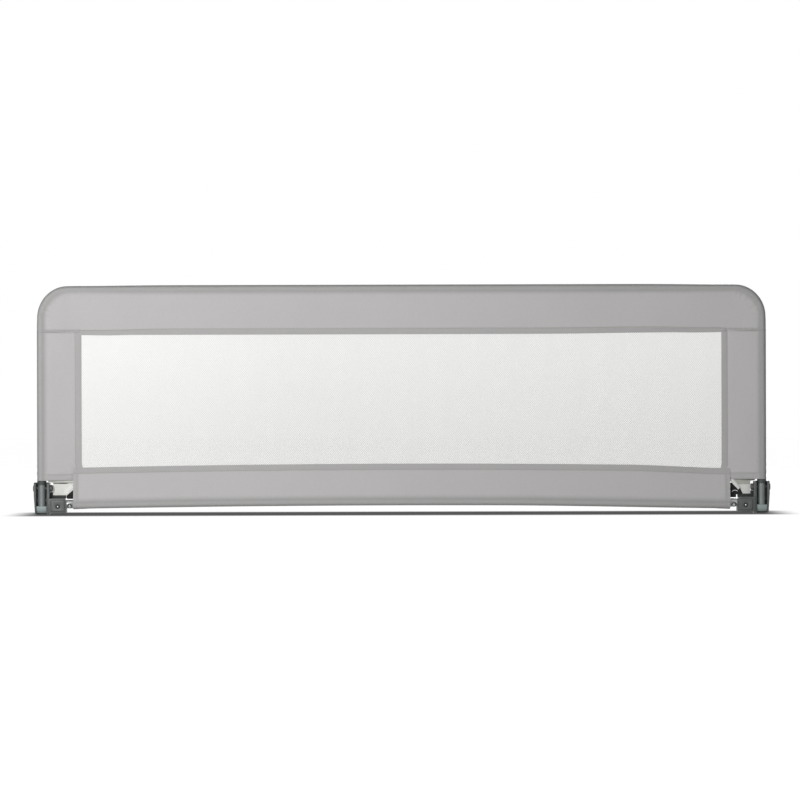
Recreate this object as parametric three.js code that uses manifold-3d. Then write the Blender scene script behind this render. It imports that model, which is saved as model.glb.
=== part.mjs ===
// Folding bed guard rail: a tube frame in a fabric cover, hinged on two plastic brackets.
// Millimetres, +X along the rail, -Y out of the bed, +Z up. The legs lie under the mattress.
// The origin is on the floor, below the middle of the rail, halfway from front to back.
import * as THREE from 'three';
import { mergeVertices } from 'three/addons/utils/BufferGeometryUtils.js';
import Module from 'manifold-3d';

const wasm = await Module();
wasm.setup();

// Overall sizes
const overallWidth = 1500;
const overallDepth = 430;
const overallHeight = 467;

// Fits
const clearance = 0.3;
const swingGap = 1.9;
const overrun = 1;

// Frame tubes of the rail
const tubeRadius = 8;
const tubeWall = 1.2;
const bendRadius = 47;
const elbowStub = 45;
const swageLength = 40;

// Fixed bottom tube, which the tight cover pulls up in the middle
const bottomTubeRadius = 8.5;
const bottomTubeHeight = 21.9;
const bow = 5.5;

// Fabric cover
const fabric = 1;
const netThickness = 0.6;
const hemWidth = 11;
const topBand = 101;
const sideBand = 90.8;
const windowSill = 97.5;
const bandEndReach = 66.5;
const bandStep = 2;

// Hinge
const knuckleRadius = 8.7;
const knuckleGround = 4.3;
const shoulderRise = 4.7;
const spigotGap = 5.3;
const pinRadius = 3;
const pinHeadRadius = 5;
const pinHeadThickness = 1.4;
const pinHeight = knuckleGround + knuckleRadius;
const shoulderHeight = pinHeight + shoulderRise;

// Collar on the upright, under the cover's edge
const collarWall = 1.2;
const collarHeight = 8.4;
const collarChamfer = 0.8;
const collarRadius = tubeRadius + clearance + collarWall;

// Bracket channel
const sideRoom = 2.5;
const outerWall = 5;
const innerWall = 6;
const backWall = 4;
const channelHeight = 66;
const channelFront = 11;
const channelCorner = 5;
const footTaper = 2.5;
const taperHeight = 40;
const channelHalf = tubeRadius + sideRoom;
const backFace = collarRadius + clearance;
const channelBack = backFace + backWall;
const outerFace = channelHalf + outerWall;
const innerFace = channelHalf + innerWall;

// Bracket box that holds the bottom tube
const boxLength = 34;
const boxBottom = 4;
const boxTop = 33.6;
const boxFront = 14;
const boxBack = 13.8;
const boxCorner = 7;
const padRaise = 1.5;
const padInset = 3;
const socketDepth = 29.5;

// Bracket socket for the leg
const legRadius = 8;
const legWall = 1.2;
const legSocketWall = 3;
const legSocketLength = 46;
const gussetThickness = 3;
const gussetDrop = 10;
const legSocketRadius = legRadius + clearance + legSocketWall;
const legHeight = legSocketRadius;
const gussetRise = channelHeight - gussetDrop;

// Leg foot
const footLength = 48;
const footWall = 3;
const footEnd = 4;
const footBevel = 1.5;

// Lock: two studs on one spring, and the four buttons that press them in
const lockDrop = 12;
const studRadius = 3;
const studEngagement = 1.8;
const recessWeb = 1;
const buttonRadius = 7;
const buttonRound = 1.6;
const buttonEdgeShare = 0.33;
const outerButtonReach = 2;
const innerButtonReach = 6;
const springWidth = 6;
const springStrip = 1;
const springRise = 36;
const springTail = 4;
const lockHeight = channelHeight - lockDrop;
const springBottom = lockHeight - studRadius - springTail;
const spigotTop = springBottom - spigotGap;

// Fasteners
const headCrownShare = 0.75;
const rivetRadius = 2;
const rivetHeadRadius = 3;
const rivetHeadThickness = 1.2;
const boxRivetInset = 17;
const boxRivetDrop = 4.9;
const rivetRing = 1.5;
const rivetRingDepth = 1.5;
const screwRadius = 2.2;
const screwHeadRadius = 4;
const screwHeadThickness = 2;
const screwLength = 9;
const legScrewInset = 30;
const washerRadius = 5;
const washerThickness = 1;
const endScrewRadius = 1.8;
const endScrewHeadRadius = 3.2;
const endScrewHeadThickness = 1.8;
const endScrewLength = 5;
const endScrewGap = 7;
const endScrewTilt = 0.41;
const jointScrewLength = 3.6;

// Lining flap and hook tape in the corner cut-outs
const liningThickness = 0.8;
const liningHem = 4.2;
const liningHemExtra = 0.6;
const liningTuck = 12;
const liningInner = 64.5;
const liningCorner = 20;
const tapeLength = 52;
const tapeHeight = 20;
const tapeThickness = 1.2;
const tapeSetback = 3;
const tapeProud = 14.5;

// Net in the window
const netTuck = 8;
const netColumns = 20;
const netRows = 5;
const netStrand = 2.4;

// Facets round full circles and along the long bow
const tubeSides = 20;
const smallSides = 12;
const pocketSides = 16;
const bendSteps = 8;
const bowSteps = 10;

// Places that follow from the sizes above
const tubeX = overallWidth / 2 - outerButtonReach - outerFace;
const railY = boxFront - overallDepth / 2;
const fabricRadius = tubeRadius + clearance + fabric;
const hemHalf = netThickness / 2 + clearance + fabric;
const topTubeHeight = overallHeight - fabricRadius;
const windowTop = overallHeight - topBand;
const topReach = topTubeHeight - windowTop;
const sideReach = sideBand - fabricRadius;
const windowSide = tubeX - sideReach;
const elbowEnd = bendRadius + elbowStub;
const coverEdge = pinHeight + Math.hypot(channelBack, channelHeight - pinHeight) + swingGap;
const flapEdge = pinHeight + Math.hypot(boxFront, boxTop - pinHeight) + swingGap;
const liningOuter = innerFace + innerButtonReach + clearance;
const tapeEdge = bottomTubeHeight + bottomTubeRadius + swingGap;
const bandHalf = tubeX - bandEndReach + bandStep;
const socketFace = innerFace + boxLength;
const bottomTubeHalf = tubeX - socketFace + socketDepth - clearance;
const seamHeight = windowTop + hemWidth / 2;
const sillReach = windowSill - bottomTubeHeight;
const boreRadius = tubeRadius - tubeWall;
const swageRadius = boreRadius - clearance;
const legStart = channelBack + footWall;
const legEnd = overallDepth - boxFront - footEnd - clearance;

const X = new THREE.Vector3(1, 0, 0);
const Y = new THREE.Vector3(0, 1, 0);
const Z = new THREE.Vector3(0, 0, 1);
const inward = X.clone().negate();
const down = Z.clone().negate();

// Keeps only positions, shares the vertices and turns the faces outwards
function welded(geometry) {
  const bare = geometry.clone();
  bare.deleteAttribute('normal');
  bare.deleteAttribute('uv');
  const shared = mergeVertices(bare);
  return signedVolume(shared) < 0 ? flipped(shared) : shared;
}

function signedVolume(geometry) {
  const place = geometry.attributes.position;
  const corners = [new THREE.Vector3(), new THREE.Vector3(), new THREE.Vector3()];
  let sum = 0;
  for (let i = 0; i < geometry.index.count; i += 3) {
    corners.forEach((corner, k) => corner.fromBufferAttribute(place, geometry.index.getX(i + k)));
    sum += corners[0].dot(corners[1].clone().cross(corners[2]));
  }
  return sum;
}

function flipped(geometry) {
  const order = geometry.index;
  for (let i = 0; i < order.count; i += 3) {
    const first = order.getX(i);
    order.setX(i, order.getX(i + 2));
    order.setX(i + 2, first);
  }
  return geometry;
}

function solid(geometry) {
  const { attributes, index } = welded(geometry);
  const vertProperties = new Float32Array(attributes.position.array);
  const triVerts = new Uint32Array(index.array);
  return new wasm.Manifold(new wasm.Mesh({ numProp: 3, vertProperties, triVerts }));
}

function surface(body) {
  const mesh = body.getMesh();
  const geometry = new THREE.BufferGeometry();
  geometry.setAttribute('position', new THREE.BufferAttribute(mesh.vertProperties, 3));
  geometry.setIndex(new THREE.BufferAttribute(mesh.triVerts, 1));
  return geometry;
}

function joined(...geometries) {
  return geometries.map(solid).reduce((whole, next) => whole.add(next));
}

// Places geometry so that its own x and y run along two given directions from a given point
function laid(geometry, along, across, x, y, z) {
  const out = along.clone().cross(across);
  const matrix = new THREE.Matrix4().makeBasis(along, across, out).setPosition(x, y, z);
  return geometry.applyMatrix4(matrix);
}

function extruded(shape, depth, sides = smallSides) {
  const settings = { depth, bevelEnabled: false, curveSegments: sides / 2 };
  return new THREE.ExtrudeGeometry(shape, settings);
}

function block(x0, x1, y0, y1, z0, z1) {
  const geometry = new THREE.BoxGeometry(x1 - x0, y1 - y0, z1 - z0);
  return geometry.translate((x0 + x1) / 2, (y0 + y1) / 2, (z0 + z1) / 2);
}

// A shape drawn in x and z, from one y to another
function acrossY(shape, y0, y1) {
  return laid(extruded(shape, y1 - y0), X, Z, 0, y1, 0);
}

// A shape drawn in y and z, from one x to another
function acrossX(shape, x0, x1) {
  return laid(extruded(shape, x1 - x0), Y, Z, x0, 0, 0);
}

function rodX(radius, x0, x1, y, z, sides = smallSides) {
  const geometry = new THREE.CylinderGeometry(radius, radius, x1 - x0, sides).rotateZ(Math.PI / 2);
  return geometry.translate((x0 + x1) / 2, y, z);
}

function rodY(radius, x, y0, y1, z, sides = smallSides) {
  const geometry = new THREE.CylinderGeometry(radius, radius, y1 - y0, sides);
  return geometry.translate(x, (y0 + y1) / 2, z);
}

function rodZ(radius, x, y, z0, z1, sides = smallSides) {
  const geometry = new THREE.CylinderGeometry(radius, radius, z1 - z0, sides).rotateX(Math.PI / 2);
  return geometry.translate(x, y, (z0 + z1) / 2);
}

// A turned piece: pairs of radius and height, turned round its own y axis
function turned(pairs, sides = smallSides) {
  return new THREE.LatheGeometry(pairs.map(([r, h]) => new THREE.Vector2(r, h)), sides);
}

// A headed pin: its head stands on height 0 and its shank runs down from there
function headedPin(radius, length, headRadius, headThickness) {
  return turned([
    [0, -length],
    [radius, -length],
    [radius, 0],
    [headRadius, 0],
    [headRadius, headThickness / 2],
    [headRadius * headCrownShare, headThickness],
    [0, headThickness],
  ]);
}

function ring(outer, inner) {
  const shape = new THREE.Shape().absarc(0, 0, outer, 0, Math.PI * 2);
  shape.holes.push(new THREE.Path().absarc(0, 0, inner, 0, Math.PI * 2, true));
  return shape;
}

// A path with its own stations, so that straight runs stay single and bends are fine
class StationPath extends THREE.Curve {
  constructor(points, tangents) {
    super();
    this.points = points;
    this.tangents = tangents;
  }

  getSpacedPoints() {
    return this.points;
  }

  getTangentAt(share) {
    return this.tangents[Math.round(share * (this.points.length - 1))].clone();
  }
}

// The upright from a height, round its bend and in along the top
function frameTubePath(bottom, end) {
  const points = [new THREE.Vector3(0, 0, bottom)];
  const tangents = [Z.clone()];
  for (let i = 0; i <= bendSteps; i++) {
    const angle = (Math.PI / 2) * (i / bendSteps);
    const x = bendRadius * (Math.cos(angle) - 1);
    const z = topTubeHeight + bendRadius * (Math.sin(angle) - 1);
    points.push(new THREE.Vector3(x, 0, z));
    tangents.push(new THREE.Vector3(-Math.sin(angle), 0, Math.cos(angle)));
  }
  points.push(new THREE.Vector3(-end, 0, topTubeHeight));
  tangents.push(inward.clone());
  return new StationPath(points, tangents);
}

function frameTube() {
  const extrudePath = frameTubePath(shoulderHeight + clearance, elbowEnd);
  const steps = extrudePath.points.length - 1;
  const settings = { steps, extrudePath, curveSegments: tubeSides / 2 };
  const tube = new THREE.ExtrudeGeometry(ring(tubeRadius, boreRadius), settings);
  const studHoles = rodX(studRadius + clearance, -channelHalf, channelHalf, 0, lockHeight);
  const rivetHole = rodX(rivetRadius + clearance, -channelHalf, channelHalf, 0, footRivetHeight());
  const screwX = swageScrewX();
  const under = topTubeHeight - tubeRadius;
  const screwHole = rodZ(endScrewRadius + clearance, screwX, 0, under - overrun, topTubeHeight);
  const holes = [studHoles, rivetHole, screwHole].map(solid);
  return surface(holes.reduce((cut, hole) => cut.subtract(hole), solid(tube)));
}

function footRivetHeight() {
  return (shoulderHeight + spigotTop) / 2;
}

function swageScrewX() {
  return -elbowEnd + swageLength / 2;
}

// The middle of the top rail, with its ends swaged to plug into the elbows
function topTube() {
  const half = tubeX - elbowEnd - clearance;
  const end = half + swageLength;
  const inner = swageRadius - tubeWall;
  const profile = [
    [inner, -end], [swageRadius, -end], [swageRadius, -half], [tubeRadius, -half],
    [tubeRadius, half], [swageRadius, half], [swageRadius, end], [inner, end], [inner, -end],
  ];
  const tube = solid(turned(profile, tubeSides).rotateZ(Math.PI / 2).translate(0, 0, topTubeHeight));
  const holes = [-1, 1].map((side) => {
    const x = side * (tubeX + swageScrewX());
    return rodZ(endScrewRadius + clearance, x, 0, topTubeHeight - tubeRadius, topTubeHeight);
  });
  return surface(holes.map(solid).reduce((cut, hole) => cut.subtract(hole), tube));
}

function swageScrew() {
  const screw = headedPin(endScrewRadius, jointScrewLength, endScrewHeadRadius, endScrewHeadThickness);
  return screw.rotateX(-Math.PI / 2).translate(swageScrewX(), 0, topTubeHeight - tubeRadius - clearance);
}

// Moulded foot of the upright: a rounded knuckle on the pin and a spigot up into the tube
function tubeFoot() {
  const outline = new THREE.Shape();
  outline.moveTo(knuckleRadius, shoulderHeight);
  outline.lineTo(-knuckleRadius, shoulderHeight);
  outline.lineTo(-knuckleRadius, pinHeight);
  outline.absarc(0, pinHeight, knuckleRadius, Math.PI, Math.PI * 2);
  const half = channelHalf - clearance;
  const foot = joined(
    acrossX(outline, -half, half),
    rodZ(boreRadius - clearance, 0, 0, shoulderHeight - overrun, spigotTop, tubeSides),
  );
  const pinHole = rodX(pinRadius + clearance, -channelHalf, channelHalf, 0, pinHeight);
  const rivetHole = rodX(rivetRadius + clearance, -channelHalf, channelHalf, 0, footRivetHeight());
  return surface(foot.subtract(solid(pinHole)).subtract(solid(rivetHole)));
}

// Rivet with a head on both sides of the upright
function footRivet() {
  const seat = tubeRadius + clearance;
  const end = seat + rivetHeadThickness;
  const rivet = turned([
    [0, -end], [rivetHeadRadius, -end], [rivetHeadRadius, -seat], [rivetRadius, -seat],
    [rivetRadius, seat], [rivetHeadRadius, seat], [rivetHeadRadius, end], [0, end],
  ]);
  return rivet.rotateZ(Math.PI / 2).translate(0, 0, footRivetHeight());
}

function hingePin() {
  const head = channelHalf + pinHeadThickness + clearance;
  const length = head + innerFace - pinHeadThickness;
  const pin = headedPin(pinRadius, length, pinHeadRadius, pinHeadThickness);
  return pin.rotateZ(-Math.PI / 2).translate(head, 0, pinHeight);
}

function collar() {
  const inner = tubeRadius + clearance;
  const top = coverEdge - clearance;
  const bottom = top - collarHeight;
  const profile = [
    [inner, bottom], [collarRadius, bottom], [collarRadius, top - collarChamfer],
    [collarRadius - collarChamfer, top], [inner, top], [inner, bottom],
  ];
  return turned(profile, tubeSides).rotateX(Math.PI / 2);
}

// Bent strip inside the upright whose two studs stand out through the tube into the bracket
function lockSpring() {
  const outer = Math.sqrt(boreRadius ** 2 - (springWidth / 2) ** 2) - clearance;
  const bendRound = outer - springStrip;
  const bendHeight = lockHeight + springRise;
  const strip = new THREE.Shape();
  strip.moveTo(outer, springBottom);
  strip.lineTo(outer, bendHeight);
  strip.absarc(0, bendHeight, outer, 0, Math.PI);
  strip.lineTo(-outer, springBottom);
  strip.lineTo(-bendRound, springBottom);
  strip.lineTo(-bendRound, bendHeight);
  strip.absarc(0, bendHeight, bendRound, Math.PI, 0, true);
  strip.lineTo(bendRound, springBottom);
  const reach = channelHalf + studEngagement;
  return surface(joined(
    acrossY(strip, -springWidth / 2, springWidth / 2),
    rodX(studRadius, bendRound, reach, 0, lockHeight),
    rodX(studRadius, -reach, -bendRound, 0, lockHeight),
  ));
}

// Button in a wall of the channel: its stem stops short of the stud and its cap stands proud
function button(wall, reach) {
  const tip = channelHalf + studEngagement + clearance;
  const cap = channelHalf + recessWeb + studEngagement + clearance;
  const end = channelHalf + wall + reach;
  const edge = buttonRound * buttonEdgeShare;
  return turned([
    [0, tip],
    [studRadius, tip],
    [studRadius, cap],
    [buttonRadius, cap],
    [buttonRadius, end - buttonRound],
    [buttonRadius - edge, end - edge],
    [buttonRadius - buttonRound, end],
    [0, end],
  ], tubeSides).rotateZ(-Math.PI / 2).translate(0, 0, lockHeight);
}

function innerButton() {
  return button(innerWall, innerButtonReach).rotateZ(Math.PI);
}

// Front outline of the channel block: its outer side tapers in towards the floor
function channelOutline() {
  const outline = new THREE.Shape();
  outline.moveTo(-innerFace, 0);
  outline.lineTo(outerFace - footTaper, 0);
  outline.lineTo(outerFace, taperHeight);
  outline.lineTo(outerFace, channelHeight);
  outline.lineTo(-innerFace, channelHeight);
  return outline;
}

// Side outline of the channel block: rounded at the top front, cut back at the toe
function channelSide() {
  const centreY = channelCorner - channelFront;
  const centreZ = channelHeight - channelCorner;
  const outline = new THREE.Shape();
  outline.moveTo(channelBack, 0);
  outline.lineTo(channelBack, channelHeight);
  outline.lineTo(centreY, channelHeight);
  outline.absarc(centreY, centreZ, channelCorner, Math.PI / 2, Math.PI);
  outline.lineTo(-channelFront, channelCorner / 2);
  outline.lineTo(channelCorner / 2 - channelFront, 0);
  return outline;
}

// Front outline of the box, inset by a margin, with its upper inner corner rounded
function boxOutline(inset) {
  const left = -socketFace + inset;
  const right = inset > 0 ? -innerFace - inset : -channelHalf - innerWall / 2;
  const corner = boxCorner - inset;
  const outline = new THREE.Shape();
  outline.moveTo(left, boxBottom + inset);
  outline.lineTo(right, boxBottom + inset);
  outline.lineTo(right, boxTop - inset);
  outline.lineTo(left + corner, boxTop - inset);
  outline.absarc(left + corner, boxTop - inset - corner, corner, Math.PI / 2, Math.PI);
  return outline;
}

// Raised pad on the front of the box, with a bevelled edge
function boxPad() {
  const bevel = padRaise / 2;
  const settings = {
    depth: padRaise, bevelEnabled: true, bevelThickness: bevel, bevelSize: bevel,
    bevelOffset: -bevel, bevelSegments: 1, curveSegments: smallSides / 4,
  };
  const pad = new THREE.ExtrudeGeometry(boxOutline(padInset), settings);
  return laid(pad, X, Z, 0, -boxFront + bevel + padRaise, 0);
}

// Outline with a flat bottom on the floor and a round top over the leg
function archOutline(radius) {
  const outline = new THREE.Shape();
  outline.moveTo(-radius, 0);
  outline.lineTo(radius, 0);
  outline.lineTo(radius, legHeight);
  outline.absarc(0, legHeight, radius, 0, Math.PI);
  return outline;
}

// Two ribs that tie the leg socket to the back of the channel
function gusset(side) {
  const outline = new THREE.Shape();
  outline.moveTo(channelBack - overrun, legHeight);
  outline.lineTo(channelBack + legSocketLength - overrun, legHeight);
  outline.lineTo(channelBack - overrun, gussetRise);
  const middle = side * (legSocketRadius - gussetThickness / 2);
  return acrossX(outline, middle - gussetThickness / 2, middle + gussetThickness / 2);
}

function boxRivetX() {
  return -innerFace - boxRivetInset;
}

function boxRivetHeight() {
  return bottomTubeHeight - boxRivetDrop;
}

function legScrewY() {
  return channelBack + legScrewInset;
}

function legScrewSeat() {
  return legHeight + legSocketRadius - legSocketWall / 2;
}

// Everything that is cut out of the bracket
function bracketCuts() {
  const buttonRecess = buttonRadius + clearance;
  const recessFloor = channelHalf + recessWeb;
  const socketEnd = channelBack + legSocketLength;
  const pinSeat = channelHalf + pinHeadThickness;
  const rivetX = boxRivetX();
  const rivetZ = boxRivetHeight();
  const ringDepth = -boxFront + rivetRingDepth;
  return [
    block(-channelHalf, channelHalf, -channelFront - overrun, backFace, -overrun,
      channelHeight + overrun),
    rodX(studRadius + clearance, -innerFace, outerFace, 0, lockHeight),
    rodX(buttonRecess, recessFloor, outerFace + overrun, 0, lockHeight, tubeSides),
    rodX(buttonRecess, -innerFace - overrun, -recessFloor, 0, lockHeight, tubeSides),
    rodX(pinRadius + clearance, -innerFace + pinHeadThickness / 2, outerFace, 0, pinHeight),
    rodX(pinHeadRadius + clearance, pinSeat, outerFace + overrun, 0, pinHeight),
    rodX(bottomTubeRadius + clearance, -socketFace - overrun, socketDepth - socketFace, 0,
      bottomTubeHeight, tubeSides),
    rodY(rivetRadius + clearance, rivetX, -boxFront - overrun, 0, rivetZ),
    rodY(rivetHeadRadius + rivetRing, rivetX, -boxFront - overrun, ringDepth, rivetZ),
    rodY(legRadius + clearance, 0, legStart - clearance, socketEnd + overrun, legHeight, tubeSides),
    rodZ(screwRadius + clearance, 0, legScrewY(), legHeight, legScrewSeat() + legSocketWall),
    rodZ(screwHeadRadius + clearance, 0, legScrewY(), legScrewSeat(), legScrewSeat() + legSocketWall),
  ];
}

// Moulded bracket: an open channel for the upright, a box for the bottom tube, a leg socket
function bracket() {
  const channel = solid(acrossY(channelOutline(), -channelFront, channelBack))
    .intersect(solid(acrossX(channelSide(), -innerFace, outerFace)));
  const body = [
    acrossY(boxOutline(0), -boxFront + padRaise, boxBack),
    boxPad(),
    acrossY(archOutline(legSocketRadius), channelBack - overrun, channelBack + legSocketLength),
    gusset(-1),
    gusset(1),
  ].map(solid).reduce((whole, next) => whole.add(next), channel);
  return surface(bracketCuts().map(solid).reduce((whole, cut) => whole.subtract(cut), body));
}

// Height that the bottom tube and the cover's lower band gain from the bow at a place along X
function bowAt(x) {
  return bow * Math.max(0, 1 - (x / bandHalf) ** 2);
}

function bowed(geometry) {
  const place = geometry.attributes.position;
  for (let i = 0; i < place.count; i++) {
    place.setZ(i, place.getZ(i) + bowAt(place.getX(i)));
  }
  return geometry;
}

// A shape drawn in z and y, laid along the whole bottom and bowed with the tube
function alongBottom(shape, half, sides) {
  const settings = { depth: half * 2, steps: bowSteps, bevelEnabled: false, curveSegments: sides / 2 };
  const geometry = new THREE.ExtrudeGeometry(shape, settings);
  return bowed(laid(geometry, Z, Y, half, 0, bottomTubeHeight));
}

function bottomTube() {
  const inner = bottomTubeRadius - tubeWall;
  const tube = solid(alongBottom(ring(bottomTubeRadius, inner), bottomTubeHalf, tubeSides));
  const holes = [-1, 1].flatMap((side) => {
    const rivetX = side * (tubeX + boxRivetX());
    const screwX = side * endScrewX();
    const drill = rodY(endScrewRadius + clearance, screwX, -bottomTubeRadius - overrun, 0, 0);
    return [
      rodY(rivetRadius + clearance, rivetX, -bottomTubeRadius - overrun, 0, boxRivetHeight()),
      drill.rotateX(endScrewTilt).translate(0, 0, bottomTubeHeight),
    ];
  });
  return surface(holes.map(solid).reduce((cut, hole) => cut.subtract(hole), tube));
}

function boxRivet() {
  const seat = -boxFront + rivetRingDepth - clearance;
  const length = boxFront - bottomTubeRadius + tubeWall + rivetRadius;
  const rivet = headedPin(rivetRadius, length, rivetHeadRadius, rivetHeadThickness);
  return rivet.rotateX(Math.PI).translate(boxRivetX(), seat, boxRivetHeight());
}

function endScrewX() {
  return tubeX - socketFace - endScrewGap;
}

// Washer and screw on the front of the bottom tube, turned a little down
function onBottomTube(piece) {
  return piece.rotateX(Math.PI + endScrewTilt).translate(endScrewX() - tubeX, 0, bottomTubeHeight);
}

function washer() {
  const inner = bottomTubeRadius + clearance;
  const hole = endScrewRadius + clearance;
  const profile = [
    [hole, inner], [washerRadius, inner], [washerRadius, inner + washerThickness],
    [hole, inner + washerThickness], [hole, inner],
  ];
  return onBottomTube(turned(profile));
}

function endScrew() {
  const seat = bottomTubeRadius + washerThickness + clearance * 2;
  const screw = headedPin(endScrewRadius, endScrewLength, endScrewHeadRadius, endScrewHeadThickness);
  return onBottomTube(screw.translate(0, seat, 0));
}

function legTube() {
  const wall = ring(legRadius, legRadius - legWall);
  const tube = laid(extruded(wall, legEnd - legStart, tubeSides), X, Z, 0, legEnd, legHeight);
  const hole = rodZ(screwRadius + clearance, 0, legScrewY(), legHeight, legHeight + legRadius + overrun);
  return surface(solid(tube).subtract(solid(hole)));
}

function legScrew() {
  const screw = headedPin(screwRadius, screwLength, screwHeadRadius, screwHeadThickness);
  return screw.rotateX(Math.PI / 2).translate(0, legScrewY(), legScrewSeat() + clearance);
}

// Cap on the end of the leg, flat where it stands
function legFoot() {
  const back = legEnd + clearance + footEnd;
  const radius = legRadius + clearance + footWall;
  const settings = {
    depth: footLength - footBevel * 2, bevelEnabled: true, bevelThickness: footBevel, bevelSize: footBevel,
    bevelOffset: -footBevel, bevelSegments: 2, curveSegments: smallSides / 2,
  };
  const cap = laid(new THREE.ExtrudeGeometry(archOutline(radius), settings), X, Z, 0, back - footBevel, 0);
  const front = back - footLength;
  const bore = rodY(legRadius + clearance, 0, front - overrun, legEnd + clearance, legHeight, tubeSides);
  return surface(solid(cap).subtract(solid(bore)));
}

// Section of a fabric pocket: round the tube, then straight in to a flat hem at the window
function pocketFlank(radius, reach, half) {
  const hemStart = reach - hemWidth;
  const tilt = Math.atan2(half, hemStart) + Math.acos(radius / Math.hypot(hemStart, half));
  const touch = new THREE.Vector2(Math.cos(tilt), Math.sin(tilt)).multiplyScalar(radius);
  return { hemStart, tilt, touch };
}

function pocketSection(radius, reach, half, beyond) {
  const { hemStart, tilt } = pocketFlank(radius, reach, half);
  const section = new THREE.Shape();
  section.moveTo(reach + beyond, -half);
  section.lineTo(reach + beyond, half);
  section.lineTo(hemStart, half);
  section.absarc(0, 0, radius, tilt, Math.PI * 2 - tilt);
  section.lineTo(hemStart, -half);
  return section;
}

// The pocket round a corner of the frame, turned about the centre of the bend
function pocketCorner(radius, half) {
  const { hemStart, tilt, touch } = pocketFlank(radius, topReach, half);
  const share = (bendRadius - touch.x) / (hemStart - touch.x);
  const middle = touch.y + (half - touch.y) * share;
  const pairs = [[0, -middle]];
  for (let i = 0; i <= bendSteps; i++) {
    const angle = tilt + (Math.PI - tilt) * 2 * (i / bendSteps);
    pairs.push([bendRadius - radius * Math.cos(angle), -radius * Math.sin(angle)]);
  }
  pairs.push([0, middle]);
  const centreX = tubeX - bendRadius;
  const centreZ = topTubeHeight - bendRadius;
  const whole = solid(turned(pairs, bendSteps * 4).translate(centreX, 0, centreZ));
  const far = bendRadius + fabricRadius + overrun;
  return whole.intersect(solid(block(centreX, centreX + far, -far, far, centreZ, centreZ + far)));
}

// The whole pocket over the top and both sides; a smaller one is cut out of a larger one
function pocketBody(radius, half, beyond) {
  const straight = tubeX - bendRadius;
  const top = laid(extruded(pocketSection(radius, topReach, half, beyond), straight * 2), down, Y,
    -straight, 0, topTubeHeight);
  const sideTop = topTubeHeight - bendRadius;
  const sideLength = sideTop - coverEdge + beyond;
  const side = laid(extruded(pocketSection(radius, sideReach, half, beyond), sideLength), inward, Y,
    tubeX, 0, sideTop);
  const corner = surface(pocketCorner(radius, half));
  return [top, side, mirrored(side), corner, mirrored(corner)].map(solid)
    .reduce((whole, next) => whole.add(next));
}

// The same piece for the other end of the rail
function mirrored(geometry) {
  const copy = welded(geometry);
  copy.scale(-1, 1, 1);
  return flipped(copy);
}

const shell = pocketBody(fabricRadius, hemHalf, 0)
  .subtract(pocketBody(fabricRadius - fabric, hemHalf - fabric, overrun));

// Area of the shell that belongs to the right side band
function sideArea(gap) {
  const far = overallWidth;
  const sideBlock = solid(block(windowSide + gap, far, -far, far, 0, seamHeight - gap));
  const notch = solid(block(0, bandHalf + gap, -far, far, 0, windowSill + gap));
  return sideBlock.subtract(notch);
}

function coverTop() {
  const far = overallWidth;
  const right = solid(block(windowSide, far, -far, far, 0, seamHeight));
  const left = solid(block(-far, -windowSide, -far, far, 0, seamHeight));
  return surface(shell.subtract(right).subtract(left));
}

function coverSide() {
  return surface(shell.intersect(sideArea(clearance)));
}

// Lower band: a pocket round the bottom tube, with its ends stepped in below the cut-outs
function coverBottom() {
  const radius = bottomTubeRadius + clearance + fabric;
  const section = pocketSection(radius, sillReach, hemHalf, 0);
  const hollow = pocketSection(radius - fabric, sillReach, hemHalf - fabric, overrun);
  const outer = alongBottom(section, bandHalf, pocketSides);
  const inner = alongBottom(hollow, bandHalf + overrun, pocketSides);
  const far = overallDepth;
  const ends = [-1, 1].map((side) => {
    const inside = side * (bandHalf - bandStep);
    const outside = side * (bandHalf + overrun);
    const [x0, x1] = side < 0 ? [outside, inside] : [inside, outside];
    return solid(block(x0, x1, -far, far, 0, coverEdge));
  });
  return surface(ends.reduce((band, end) => band.subtract(end), solid(outer).subtract(solid(inner))));
}

// One diamond gap of the net, drawn as a hole
function netGap(x, z, halfWide, halfHigh) {
  const gap = new THREE.Path();
  gap.moveTo(x + halfWide, z);
  gap.lineTo(x, z - halfHigh);
  gap.lineTo(x - halfWide, z);
  gap.lineTo(x, z + halfHigh);
  gap.closePath();
  return gap;
}

// Net in the window, held between the two layers of the hems; its lower edge follows the bow
function meshWindow() {
  const half = windowSide + netTuck;
  const top = windowTop + netTuck;
  const bottom = windowSill - netTuck;
  const outline = new THREE.Shape();
  outline.moveTo(half, top);
  outline.lineTo(-half, top);
  for (let i = 0; i <= bowSteps; i++) {
    const x = half * ((2 * i) / bowSteps - 1);
    outline.lineTo(x, bottom + bowAt(x));
  }
  const low = windowSill + bow;
  const wide = windowSide / netColumns;
  const high = (windowTop - low) / netRows / 2;
  const inset = 1 - ((netStrand / 2) * Math.hypot(wide, high)) / (wide * high);
  for (let row = 1; row < netRows * 2; row++) {
    for (let column = 1; column < netColumns * 2; column++) {
      if ((row + column) % 2 === 0) {
        const x = column * wide - windowSide;
        outline.holes.push(netGap(x, low + row * high, wide * inset, high * inset));
      }
    }
  }
  return acrossY(outline, -netThickness / 2, netThickness / 2);
}

// Cream flap of the lining that hangs in the corner cut-out, with a thicker hem at its top
function liningFlap() {
  const inner = -liningInner;
  const outer = -liningOuter;
  const flap = new THREE.Shape();
  flap.moveTo(inner, coverEdge + liningTuck);
  flap.lineTo(inner, flapEdge + liningCorner);
  flap.lineTo(inner + liningCorner, flapEdge);
  flap.lineTo(outer, flapEdge);
  flap.lineTo(outer, coverEdge + liningTuck);
  const thin = acrossY(flap, 0, liningThickness);
  const hemTop = coverEdge - clearance;
  const hem = block(inner, outer, -liningHemExtra, liningThickness, hemTop - liningHem, hemTop);
  return surface(joined(thin, hem));
}

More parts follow.
